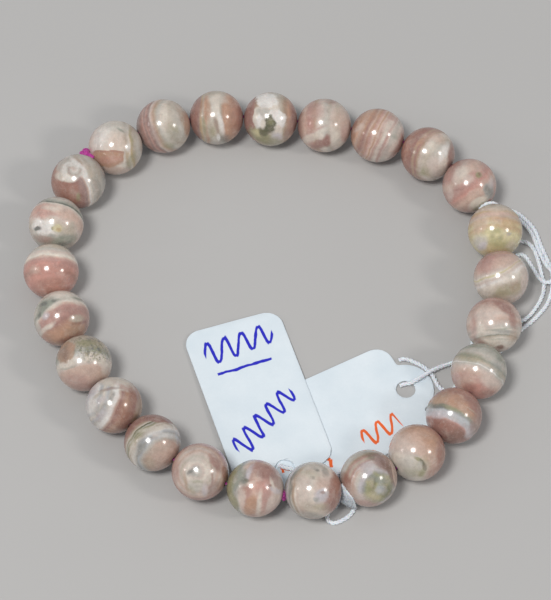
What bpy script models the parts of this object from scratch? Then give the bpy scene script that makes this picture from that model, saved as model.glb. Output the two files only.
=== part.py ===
"""Bracelet of 25 round banded rhodochrosite beads on an elastic cord, lying flat, with two card tags on white thread.

The row frame: +Z up, the beads rest on z = 0, X/Y zero is the middle of the ring's outline, and the ring's long side is along X.
Sizes are in millimetres here and become metres where a mesh is made.
"""

import math

import bmesh
import bpy
from mathutils import Matrix, Vector

MM = 0.001

# Beads
BEAD_D = 7.5
BORE_D = 1.3
BEAD_COUNT = 25
BEAD_GAP = 0.06  # between neighbours that touch lightly
WIDER_GAPS = {8: 0.47, 12: 0.17}  # after bead 8, where the thread is tied, and after bead 12
BEAD_SIDES = 12
BEAD_RINGS = 7  # odd, so that one flat faces straight down

# The oval that the bead centres lie on: r = mean * (1 + sum of a cos(k t) + b sin(k t))
OVAL = {2: (0.0206, -0.0182), 3: (-0.0132, 0.0476), 4: (-0.0125, 0.0023), 5: (-0.0058, 0.0)}
FIRST_BEAD_DEG = 139.2  # bead 1, and the others follow clockwise seen from above

# Elastic cord
ELASTIC_D = 0.6
KNOT_FROM = 1.5  # the knot sits outside the ring between beads 25 and 1, from here ...
KNOT_TO = 3.3  # ... to here, measured from the cord

# Tags: card with a round tab that has the string hole
CARD = 0.28
TAG_CORNER_R = 2.3
TAB_R = 3.8
HOLE_R = 1.3
HOLE_TO_SHOULDER = 0.75
TAG_BODY = 24.35  # along the tag, without its tab
BACK_WIDTH, BACK_HOLE, BACK_TURN_DEG = 14.9, (18.6, -10.4), 32.3
FRONT_WIDTH, FRONT_HOLE, FRONT_TURN_DEG = 13.7, (3.24, -24.04), -67.6
BACK_Z = 0.0
FRONT_Z = 0.34  # the front tag lies on the back one

# Thread
THREAD_D = 0.5
THREAD_Z = 0.27  # height of the middle of a thread that lies on the ground
THREAD_STEP = 0.95
PIECE_GAP = 0.3


def oval(mean, t):
    r = mean
    for k, (a, b) in OVAL.items():
        r += mean * (a * math.cos(k * t) + b * math.sin(k * t))
    return Vector((r * math.cos(t), r * math.sin(t)))


def next_on_oval(mean, t, chord):
    """The angle, clockwise from t, at which the oval is one chord away."""
    here, low, high = oval(mean, t), 0.0, 0.6
    for _ in range(48):
        middle = (low + high) / 2
        if (oval(mean, t - middle) - here).length < chord:
            low = middle
        else:
            high = middle
    return t - (low + high) / 2


def bead_angles(mean):
    """The angle of each bead, and of the one that would follow the last."""
    angles = [math.radians(FIRST_BEAD_DEG)]
    for i in range(1, BEAD_COUNT + 1):
        chord = BEAD_D + BEAD_GAP + WIDER_GAPS.get(i, 0.0)
        angles.append(next_on_oval(mean, angles[-1], chord))
    return angles


def bead_centres():
    """The bead centres seen from above, on the oval that just closes, with the outline's middle at zero."""
    low, high = 28.0, 32.0
    for _ in range(48):
        mean = (low + high) / 2
        angles = bead_angles(mean)
        if angles[0] - angles[-1] > 2 * math.pi:
            low = mean
        else:
            high = mean
    points = [oval(mean, t) for t in angles[:-1]]
    xs, ys = [p.x for p in points], [p.y for p in points]
    middle = Vector(((min(xs) + max(xs)) / 2, (min(ys) + max(ys)) / 2))
    return [p - middle for p in points]


CENTRES = bead_centres()


def bead(i):
    """Centre of bead i, counted from 1, seen from above."""
    return CENTRES[(i - 1) % BEAD_COUNT]


def bore_direction(i):
    return (bead(i + 1) - bead(i - 1)).normalized()


def beside_gap(i, along, out, z):
    """A point by the gap after bead i: along the string, outwards from it, and at height z."""
    chord = (bead(i + 1) - bead(i)).normalized()
    outwards = Vector((-chord.y, chord.x))
    p = (bead(i) + bead(i + 1)) / 2 + chord * along + outwards * out
    return (p.x, p.y, z)


def material(name, colour, roughness, metallic=0.0):
    m = bpy.data.materials.new(name)
    m.use_nodes = True
    shader = m.node_tree.nodes["Principled BSDF"]
    shader.inputs["Base Color"].default_value = (*colour, 1.0)
    shader.inputs["Roughness"].default_value = roughness
    shader.inputs["Metallic"].default_value = metallic
    m.diffuse_color = (*colour, 1.0)
    return m


def add_object(name, data, mat):
    obj = bpy.data.objects.new(name, data)
    bpy.context.scene.collection.objects.link(obj)
    data.materials.append(mat)
    return obj


def bead_mesh():
    """A ball with a bore along X, turned in flats. Its height over the flats is the bead's diameter."""
    radius, bore = BEAD_D / 2, BORE_D / 2
    start = math.asin(bore / radius)
    step = (math.pi - 2 * start) / BEAD_RINGS
    side = math.cos(math.pi / BEAD_SIDES)
    profile = []
    for k in range(BEAD_RINGS + 1):
        angle = start + k * step
        ring = 1.0 if k in (0, BEAD_RINGS) else 1 / math.cos(step / 2)
        wide = 1.0 if k in (0, BEAD_RINGS) else ring / side
        profile.append((radius * ring * math.cos(angle), radius * wide * math.sin(angle)))
    bm = bmesh.new()
    rings = []
    for x, r in profile:
        ring = []
        for j in range(BEAD_SIDES):
            t = 2 * math.pi * (j + 0.5) / BEAD_SIDES
            ring.append(bm.verts.new((x * MM, r * math.cos(t) * MM, r * math.sin(t) * MM)))
        rings.append(ring)
    # the last profile point joins the first through the bore
    for a, b in zip(rings, rings[1:] + rings[:1]):
        for j in range(BEAD_SIDES):
            k = (j + 1) % BEAD_SIDES
            bm.faces.new((a[j], a[k], b[k], b[j]))
    bmesh.ops.recalc_face_normals(bm, faces=bm.faces)
    mesh = bpy.data.meshes.new("bead")
    bm.to_mesh(mesh)
    bm.free()
    return mesh


def tube(name, points, diameter, mat, cyclic=False):
    """A round tube along points in millimetres."""
    curve = bpy.data.curves.new(name, "CURVE")
    curve.dimensions = "3D"
    curve.bevel_depth = diameter / 2 * MM
    curve.bevel_resolution = 2
    curve.use_fill_caps = not cyclic
    curve.twist_mode = "MINIMUM"
    spline = curve.splines.new("POLY")
    spline.points.add(len(points) - 1)
    for point, (x, y, z) in zip(spline.points, points):
        point.co = (x * MM, y * MM, z * MM, 1.0)
    spline.use_cyclic_u = cyclic
    return add_object(name, curve, mat)


def smooth_line(control, step):
    """Points about a step apart on the smooth curve through the control points."""
    pts = [Vector(p) for p in control]
    pts = [2 * pts[0] - pts[1]] + pts + [2 * pts[-1] - pts[-2]]
    fine = []
    for i in range(1, len(pts) - 2):
        p0, p1, p2, p3 = pts[i - 1 : i + 3]
        # centripetal spacing, which doesn't overshoot in tight turns
        t0 = 0.0
        t1 = t0 + max((p1 - p0).length, 1e-6) ** 0.5
        t2 = t1 + max((p2 - p1).length, 1e-6) ** 0.5
        t3 = t2 + max((p3 - p2).length, 1e-6) ** 0.5
        for k in range(24):
            t = t1 + (t2 - t1) * k / 24
            a1 = p0 * ((t1 - t) / (t1 - t0)) + p1 * ((t - t0) / (t1 - t0))
            a2 = p1 * ((t2 - t) / (t2 - t1)) + p2 * ((t - t1) / (t2 - t1))
            a3 = p2 * ((t3 - t) / (t3 - t2)) + p3 * ((t - t2) / (t3 - t2))
            b1 = a1 * ((t2 - t) / (t2 - t0)) + a2 * ((t - t0) / (t2 - t0))
            b2 = a2 * ((t3 - t) / (t3 - t1)) + a3 * ((t - t1) / (t3 - t1))
            fine.append(b1 * ((t2 - t) / (t2 - t1)) + b2 * ((t - t1) / (t2 - t1)))
    fine.append(pts[-2])
    along = [0.0]
    for a, b in zip(fine, fine[1:]):
        along.append(along[-1] + (b - a).length)
    count = max(2, round(along[-1] / step) + 1)
    line, j = [], 0
    for k in range(count):
        want = along[-1] * k / (count - 1)
        while j < len(fine) - 2 and along[j + 1] < want:
            j += 1
        f = (want - along[j]) / max(along[j + 1] - along[j], 1e-9)
        line.append(fine[j].lerp(fine[j + 1], f))
    return line


def thread(names, control, mat):
    """One thread as tubes end to end, a small gap apart."""
    line = smooth_line(control, THREAD_STEP)
    share = (len(line) - 1) / len(names)
    for n, name in enumerate(names):
        piece = [p.copy() for p in line[round(n * share) : round((n + 1) * share) + 1]]
        if n:
            piece[0] += (piece[1] - piece[0]).normalized() * PIECE_GAP
        tube(name, piece, THREAD_D, mat)


def tag_mesh(name, width):
    """A card tag with its string hole at zero and its tab towards +X."""
    half, r = width / 2, TAG_CORNER_R
    front, back = HOLE_TO_SHOULDER, HOLE_TO_SHOULDER - TAG_BODY
    meet = math.acos(HOLE_TO_SHOULDER / TAB_R)
    outline = []

    def arc(cx, cy, radius, first, last, steps):
        for k in range(steps + 1):
            t = first + (last - first) * k / steps
            outline.append((cx + radius * math.cos(t), cy + radius * math.sin(t)))

    arc(0, 0, TAB_R, -meet, meet, 16)
    arc(front - r, half - r, r, 0, math.pi / 2, 6)
    arc(back + r, half - r, r, math.pi / 2, math.pi, 6)
    arc(back + r, r - half, r, math.pi, 1.5 * math.pi, 6)
    arc(front - r, r - half, r, 1.5 * math.pi, 2 * math.pi, 6)
    hole = [
        (HOLE_R * math.cos(2 * math.pi * k / 20), HOLE_R * math.sin(2 * math.pi * k / 20))
        for k in range(20)
    ]
    bm = bmesh.new()
    edges = []
    for loop in (outline, hole):
        verts = [bm.verts.new((x * MM, y * MM, 0.0)) for x, y in loop]
        edges += [bm.edges.new((a, b)) for a, b in zip(verts, verts[1:] + verts[:1])]
    bmesh.ops.triangle_fill(bm, use_beauty=True, edges=edges)
    made = bmesh.ops.extrude_face_region(bm, geom=bm.faces[:])
    verts = [e for e in made["geom"] if isinstance(e, bmesh.types.BMVert)]
    bmesh.ops.translate(bm, verts=verts, vec=(0, 0, CARD * MM))
    bmesh.ops.recalc_face_normals(bm, faces=bm.faces)
    mesh = bpy.data.meshes.new(name)
    bm.to_mesh(mesh)
    bm.free()
    return mesh


def turned_mesh(name, profile, sides):
    """A closed turned solid along +X from (distance, radius) points, with a point at each end."""
    bm = bmesh.new()
    first = bm.verts.new((profile[0][0] * MM, 0, 0))
    last = bm.verts.new((profile[-1][0] * MM, 0, 0))
    rings = []
    for x, r in profile[1:-1]:
        rings.append(
            [
                bm.verts.new(
                    (
                        x * MM,
                        r * MM * math.cos(2 * math.pi * j / sides),
                        r * MM * math.sin(2 * math.pi * j / sides),
                    )
                )
                for j in range(sides)
            ]
        )
    for j in range(sides):
        k = (j + 1) % sides
        bm.faces.new((first, rings[0][k], rings[0][j]))
        bm.faces.new((last, rings[-1][j], rings[-1][k]))
        for a, b in zip(rings, rings[1:]):
            bm.faces.new((a[j], a[k], b[k], b[j]))
    bmesh.ops.recalc_face_normals(bm, faces=bm.faces)
    mesh = bpy.data.meshes.new(name)
    bm.to_mesh(mesh)
    bm.free()
    mesh.shade_smooth()
    return mesh


for old in list(bpy.data.objects):
    bpy.data.objects.remove(old, do_unlink=True)

STONE = material("rhodochrosite", (0.62, 0.42, 0.36), 0.12)
ELASTIC = material("elastic", (0.45, 0.02, 0.30), 0.35)
PAPER = material("card", (0.70, 0.79, 0.84), 0.6)
COTTON = material("thread", (0.74, 0.78, 0.84), 0.9)

# Beads, bore along the string
ball = bead_mesh()
ball.materials.append(STONE)
for i in range(1, BEAD_COUNT + 1):
    obj = bpy.data.objects.new(f"bead_{i:02d}", ball)
    bpy.context.scene.collection.objects.link(obj)
    c, d = bead(i), bore_direction(i)
    obj.location = (c.x * MM, c.y * MM, BEAD_D / 2 * MM)
    obj.rotation_euler = (0, 0, math.atan2(d.y, d.x))

# The elastic runs straight through each bore and turns between beads
route = []
for i in range(1, BEAD_COUNT + 1):
    c, d = bead(i), bore_direction(i)
    for side in (-1, 1):
        p = c + d * (side * (BEAD_D / 2 - 0.1))
        route.append((p.x, p.y, BEAD_D / 2))
tube("elastic_cord", route, ELASTIC_D, ELASTIC, cyclic=True)

# The elastic's knot, squeezed into the notch between beads 25 and 1
pear = [
    (KNOT_FROM, 0),
    (KNOT_FROM + 0.05, 0.18),
    (2.0, 0.42),
    (2.45, 0.72),
    (2.9, 0.74),
    (KNOT_TO - 0.08, 0.4),
    (KNOT_TO, 0),
]
knot = add_object("elastic_knot", turned_mesh("elastic_knot", pear, 10), ELASTIC)
base = Vector(beside_gap(25, 0, 0, BEAD_D / 2))
tip = Vector(beside_gap(25, 0, 1, BEAD_D / 2))
knot.location = base * MM
knot.rotation_euler = (0, 0, math.atan2((tip - base).y, (tip - base).x))

# Tags
for name, width, hole, turn, z in (
    ("tag_back", BACK_WIDTH, BACK_HOLE, BACK_TURN_DEG, BACK_Z),
    ("tag_front", FRONT_WIDTH, FRONT_HOLE, FRONT_TURN_DEG, FRONT_Z),
):
    tag = add_object(name, tag_mesh(name, width), PAPER)
    tag.location = (hole[0] * MM, hole[1] * MM, z * MM)
    tag.rotation_euler = (0, 0, math.radians(turn))

# Thread of the back tag. It comes up in the hole, crosses the tab, goes under bead 11 to the outside after
# bead 10, in under the elastic after bead 9 and out again, turns, goes round the elastic after bead 8, and
# comes back outside beads 9 to 11, in after bead 11 and under bead 12's edge to the notch beside the tab.
Z = THREAD_Z
BACK_THREAD = [
    (17.75, -9.95, Z), (18.5, -9.65, 0.36), (19.2, -9.65, 0.58), (20.0, -9.0, 0.66), (20.9, -8.3, 0.76),
    (21.8, -7.6, 0.84), (23.0, -6.8, 0.7), (24.8, -5.75, 0.4), (25.95, -4.8, Z), (26.85, -3.6, Z),
    (27.3, -2.3, Z), (27.25, -0.9, Z), (27.6, 0.4, Z), (28.5, 1.4, Z), (29.7, 1.85, Z), (31.1, 1.8, Z),
    (32.5, 1.55, Z), (33.8, 1.75, Z), (34.8, 2.6, Z), (35.55, 3.75, Z), (36.25, 5.2, Z), (36.65, 6.7, Z),
    (36.65, 8.1, Z), (36.35, 9.4, Z), (36.05, 10.7, Z), (35.65, 12.1, Z), (34.95, 13.7, Z), (33.9, 14.5, Z),
    (32.65, 14.2, Z), (31.8, 13.1, Z), (31.2, 12.0, Z), (30.4, 11.3, Z), (29.5, 10.9, Z), (28.6, 10.3, Z),
    (28.2, 9.4, Z), (28.6, 8.5, Z), (29.6, 8.4, Z), (30.7, 9.3, Z), (31.6, 10.6, Z), (32.4, 11.9, Z),
    (33.3, 12.45, Z), (34.1, 12.0, Z), (34.75, 10.95, Z), (35.35, 9.95, Z), (35.85, 9.1, 0.42),
    (36.35, 8.4, 0.84), (37.0, 8.05, 0.88), (37.6, 8.45, 0.88), (37.55, 9.45, 0.82), (37.0, 10.6, 0.45),
    (36.35, 12.1, Z), (35.6, 13.9, Z), (34.75, 16.0, Z), (33.75, 17.35, Z), (32.4, 18.4, Z),
    beside_gap(8, 0.35, 3.4, 0.45), beside_gap(8, 0.2, 2.4, 1.1), beside_gap(8, 0.05, 1.5, 1.9),
    beside_gap(8, 0, 0.6, 2.6), beside_gap(8, 0, -0.3, 2.85), beside_gap(8, 0, -0.8, 3.45),
    beside_gap(8, 0, -0.65, 4.2), beside_gap(8, 0, 0.05, 4.6), beside_gap(8, 0, 0.8, 4.35),
    beside_gap(8, 0, 1.45, 3.6), beside_gap(8, -0.05, 2.1, 2.6), beside_gap(8, -0.2, 2.9, 1.6),
    beside_gap(8, -0.3, 3.8, 0.75),
    (32.0, 19.3, 0.32), (32.85, 18.95, Z), (34.2, 17.75, Z), (35.25, 16.35, Z), (36.15, 13.95, Z),
    (36.95, 12.1, Z), (37.6, 10.4, Z), (37.85, 9.1, Z), (37.85, 7.7, Z), (37.7, 6.4, Z),
    (37.15, 4.6, Z), (36.3, 3.2, Z), (35.3, 1.9, Z), (34.2, 0.75, Z), (33.0, -0.5, Z),
    (32.2, -1.75, Z), (31.65, -2.7, Z), (30.9, -3.4, Z), (29.7, -4.1, Z), (28.4, -4.8, Z),
    (27.1, -5.7, Z), (26.2, -6.8, Z), (25.7, -7.9, Z), (25.4, -9.0, Z), (24.8, -9.9, Z), (23.9, -10.15, Z),
    (23.1, -9.7, Z), (22.55, -8.85, Z), (21.95, -7.75, Z),
    (20.75, -6.7, Z), (19.4, -6.05, Z), (18.1, -5.75, Z), (17.15, -5.8, Z),
]
thread(["thread_back_1", "thread_back_2", "thread_back_3"], BACK_THREAD, COTTON)

# Thread of the front tag. It leaves the hole over the tab, goes out under the elastic after bead 15, turns
# under the edge of bead 16, goes in and out again under the elastic, and ends in a knot inside its own loop.
FRONT_THREAD = [
    (2.4, -23.7, 0.6), (3.1, -23.95, 0.72), (3.85, -24.2, 0.88), (4.7, -24.4, 0.95), (5.8, -24.55, 0.95),
    (6.8, -24.65, 0.93), (7.7, -24.75, 0.78), (8.6, -25.05, 0.6), (9.4, -25.7, 0.44), (10.0, -26.5, Z),
    (10.4, -27.3, Z), (10.6, -28.1, Z), (10.3, -28.85, Z), (9.7, -29.45, Z), (9.3, -30.2, Z), (9.4, -31.0, Z),
    (10.1, -31.4, Z), (11.1, -31.0, Z), (12.0, -30.3, Z), (12.6, -29.4, Z), (12.75, -28.4, Z),
    (12.4, -27.6, Z), (12.0, -26.8, Z), (11.85, -26.0, Z), (11.95, -25.2, 0.4), (11.8, -24.4, 0.56),
    (11.1, -23.8, 0.58), (10.35, -24.05, 0.58), (10.15, -24.8, 0.56), (10.4, -25.6, 0.42), (10.85, -26.3, Z),
    (11.2, -26.9, 0.3),
]
thread(["thread_front"], FRONT_THREAD, COTTON)
bulb = [(0.35, 0), (0.4, 0.22), (0.6, 0.37), (0.85, 0.4), (1.1, 0.36), (1.3, 0.2), (1.35, 0)]
end_knot = add_object("thread_knot", turned_mesh("thread_knot", bulb, 8), COTTON)
end_knot.location = (11.25 * MM, -27.0 * MM, 0.42 * MM)
end_knot.rotation_euler = (0, 0, math.radians(-68))
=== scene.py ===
"""Looks of the bead bracelet: 25 polished banded rhodochrosite beads on a magenta elastic, two card tags on white thread.

Metres, +Z up. Helper tables are in millimetres or in bead radii, as each says.
"""

import math
import random

import bmesh
import bpy
from mathutils import Matrix, Vector


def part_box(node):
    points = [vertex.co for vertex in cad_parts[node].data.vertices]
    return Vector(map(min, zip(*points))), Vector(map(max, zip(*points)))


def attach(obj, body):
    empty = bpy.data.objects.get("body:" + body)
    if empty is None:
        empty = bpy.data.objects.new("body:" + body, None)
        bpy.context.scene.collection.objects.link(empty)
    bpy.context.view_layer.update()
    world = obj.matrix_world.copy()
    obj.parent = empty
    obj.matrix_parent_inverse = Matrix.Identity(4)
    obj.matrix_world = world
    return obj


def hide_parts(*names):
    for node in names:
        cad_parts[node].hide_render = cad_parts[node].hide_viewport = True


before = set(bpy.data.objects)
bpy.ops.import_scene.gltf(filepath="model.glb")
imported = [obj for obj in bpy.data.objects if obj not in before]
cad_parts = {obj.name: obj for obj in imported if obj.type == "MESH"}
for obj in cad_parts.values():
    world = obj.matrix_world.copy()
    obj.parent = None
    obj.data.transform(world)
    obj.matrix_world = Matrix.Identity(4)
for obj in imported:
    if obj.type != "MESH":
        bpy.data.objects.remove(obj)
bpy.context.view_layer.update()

MM = 0.001

# ---------------------------------------------------------------- camera

LENS = 197.7
ELEVATION = math.radians(58.97)
DISTANCE = 444.8 * MM
ROLL = math.radians(4.70)
TARGET = Vector((0.174, -0.235, 3.75)) * MM

back = Vector((0.0, -math.cos(ELEVATION), math.sin(ELEVATION)))
right = Vector((1.0, 0.0, 0.0))
up = back.cross(right)
SIGHT_X = right * math.cos(ROLL) + up * math.sin(ROLL)
SIGHT_Y = up * math.cos(ROLL) - right * math.sin(ROLL)
SIGHT_Z = back
# The axes that the stones' own patterns are laid out in: x and y across a bead, z out of its upper face
BEAD_AXES = Matrix((SIGHT_X, SIGHT_Y, SIGHT_Z)).transposed()

cam_data = bpy.data.cameras.new("camera")
cam_data.lens = LENS
cam_data.sensor_width = 36.0
cam_data.sensor_fit = "AUTO"
cam_data.clip_start = 0.01
cam_data.clip_end = 20.0
cam = bpy.data.objects.new("camera", cam_data)
bpy.context.scene.collection.objects.link(cam)
cam.matrix_world = Matrix.Translation(TARGET + SIGHT_Z * DISTANCE) @ BEAD_AXES.to_4x4()
bpy.context.scene.camera = cam

# ---------------------------------------------------------------- material helpers


def srgb(r, g, b):
    """Linear colour of an sRGB colour given in 0 to 255."""
    out = []
    for v in (r, g, b):
        v /= 255
        out.append(v / 12.92 if v <= 0.04045 else ((v + 0.055) / 1.055) ** 2.4)
    return (*out, 1.0)


class Nodes:
    """A node material with short ways to add the nodes it needs."""

    def __init__(self, name):
        self.material = bpy.data.materials.new(name)
        self.material.use_nodes = True
        self.tree = self.material.node_tree
        self.shader = self.tree.nodes["Principled BSDF"]
        self.seed = 0.0

    def node(self, kind, **settings):
        made = self.tree.nodes.new(kind)
        for key, value in settings.items():
            setattr(made, key, value)
        return made

    def feed(self, socket, value):
        if isinstance(value, bpy.types.NodeSocket):
            self.tree.links.new(value, socket)
        elif isinstance(value, Vector):
            socket.default_value = tuple(value)
        else:
            socket.default_value = value

    def math(self, operation, a, b=None, c=None, clamp=False):
        made = self.node("ShaderNodeMath", operation=operation, use_clamp=clamp)
        for k, value in enumerate((a, b, c)):
            if value is not None:
                self.feed(made.inputs[k], value)
        return made.outputs[0]

    def vector(self, operation, a, b=None, scale=None):
        made = self.node("ShaderNodeVectorMath", operation=operation)
        self.feed(made.inputs[0], a)
        if b is not None:
            self.feed(made.inputs[1], b)
        if scale is not None:
            self.feed(made.inputs["Scale"], scale)
        return made.outputs["Value"] if operation in ("DOT_PRODUCT", "LENGTH", "DISTANCE") else made.outputs["Vector"]

    def split(self, v):
        made = self.node("ShaderNodeSeparateXYZ")
        self.feed(made.inputs[0], v)
        return made.outputs[0], made.outputs[1], made.outputs[2]

    def join(self, x, y, z):
        made = self.node("ShaderNodeCombineXYZ")
        for k, value in enumerate((x, y, z)):
            self.feed(made.inputs[k], value)
        return made.outputs[0]

    def own(self, scale):
        """The piece's own coordinates, times scale."""
        place = self.node("ShaderNodeTexCoord").outputs["Object"]
        return self.vector("SCALE", place, scale=scale)

    def noise(self, where, scale, detail=2.0, roughness=0.5, distortion=0.0, offset=0.0, colour=False):
        made = self.node("ShaderNodeTexNoise", noise_dimensions="4D")
        self.feed(made.inputs["Vector"], where)
        made.inputs["W"].default_value = self.seed + offset
        made.inputs["Scale"].default_value = scale
        made.inputs["Detail"].default_value = detail
        made.inputs["Roughness"].default_value = roughness
        made.inputs["Distortion"].default_value = distortion
        return made.outputs[1 if colour else 0]

    def noise_along(self, value, scale, detail=2.0, offset=0.0):
        """One-dimensional noise, for fine layers along a field."""
        made = self.node("ShaderNodeTexNoise", noise_dimensions="1D")
        self.feed(made.inputs["W"], self.math("ADD", value, self.seed + offset))
        made.inputs["Scale"].default_value = scale
        made.inputs["Detail"].default_value = detail
        return made.outputs[0]

    def step(self, value, low, high, to_low=0.0, to_high=1.0):
        made = self.node("ShaderNodeMapRange", interpolation_type="SMOOTHSTEP")
        self.feed(made.inputs["Value"], value)
        made.inputs["From Min"].default_value = low
        made.inputs["From Max"].default_value = high
        made.inputs["To Min"].default_value = to_low
        made.inputs["To Max"].default_value = to_high
        return made.outputs[0]

    def linear(self, value, low, high, to_low=0.0, to_high=1.0):
        made = self.node("ShaderNodeMapRange")
        self.feed(made.inputs["Value"], value)
        made.inputs["From Min"].default_value = low
        made.inputs["From Max"].default_value = high
        made.inputs["To Min"].default_value = to_low
        made.inputs["To Max"].default_value = to_high
        return made.outputs[0]

    def mix(self, factor, a, b, blend="MIX"):
        made = self.node("ShaderNodeMix", data_type="RGBA", blend_type=blend)
        self.feed(made.inputs[0], factor)
        self.feed(made.inputs[6], a)
        self.feed(made.inputs[7], b)
        return made.outputs[2]

    def ramp(self, factor, stops):
        made = self.node("ShaderNodeValToRGB")
        self.feed(made.inputs[0], factor)
        elements = made.color_ramp.elements
        while len(elements) > 1:
            elements.remove(elements[-1])
        elements[0].position, elements[0].color = stops[0]
        for position, colour in stops[1:]:
            elements.new(position).color = colour
        return made.outputs[0]

    def bump(self, height, strength, distance):
        made = self.node("ShaderNodeBump")
        made.inputs["Strength"].default_value = strength
        made.inputs["Distance"].default_value = distance
        self.feed(made.inputs["Height"], height)
        self.tree.links.new(made.outputs[0], self.shader.inputs["Normal"])


# ---------------------------------------------------------------- stone

SALMON = srgb(190, 142, 131)
ROSE = srgb(180, 144, 135)
ROSE_BROWN = srgb(154, 118, 109)
MAUVE = srgb(154, 131, 125)
TERRACOTTA = srgb(158, 118, 105)
PEACH = srgb(196, 170, 156)
PINK_CREAM = srgb(201, 185, 175)
CREAM = srgb(211, 201, 189)
WHITE = srgb(223, 218, 213)
GREY_CREAM = srgb(189, 183, 174)
BEIGE = srgb(181, 169, 154)
TAN = srgb(172, 147, 127)
TAN_ORANGE = srgb(180, 143, 121)
OCHRE = srgb(184, 160, 126)
YELLOW = srgb(198, 188, 150)
OLIVE = srgb(146, 142, 110)
DARK_OLIVE = srgb(96, 94, 74)
GREEN_OLIVE = srgb(156, 153, 112)
GREY_GREEN = srgb(146, 148, 136)
GREY = srgb(156, 154, 149)
DARK_GREY = srgb(106, 106, 101)
SILVER = srgb(182, 183, 185)
LAVENDER = srgb(192, 185, 188)
BROWN = srgb(126, 97, 85)


def on_bead(x, y):
    """The point of the bead's upper face at x, y, in radii."""
    return Vector((x, y, math.sqrt(max(0.0, 1 - x * x - y * y))))


class Field:
    """A number at each point of the stone, as a node socket and as a function."""

    def __init__(self, socket, at):
        self.socket, self.at = socket, at

    def value(self, where):
        return self.at(on_bead(*where)) if isinstance(where, tuple) else where


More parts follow.
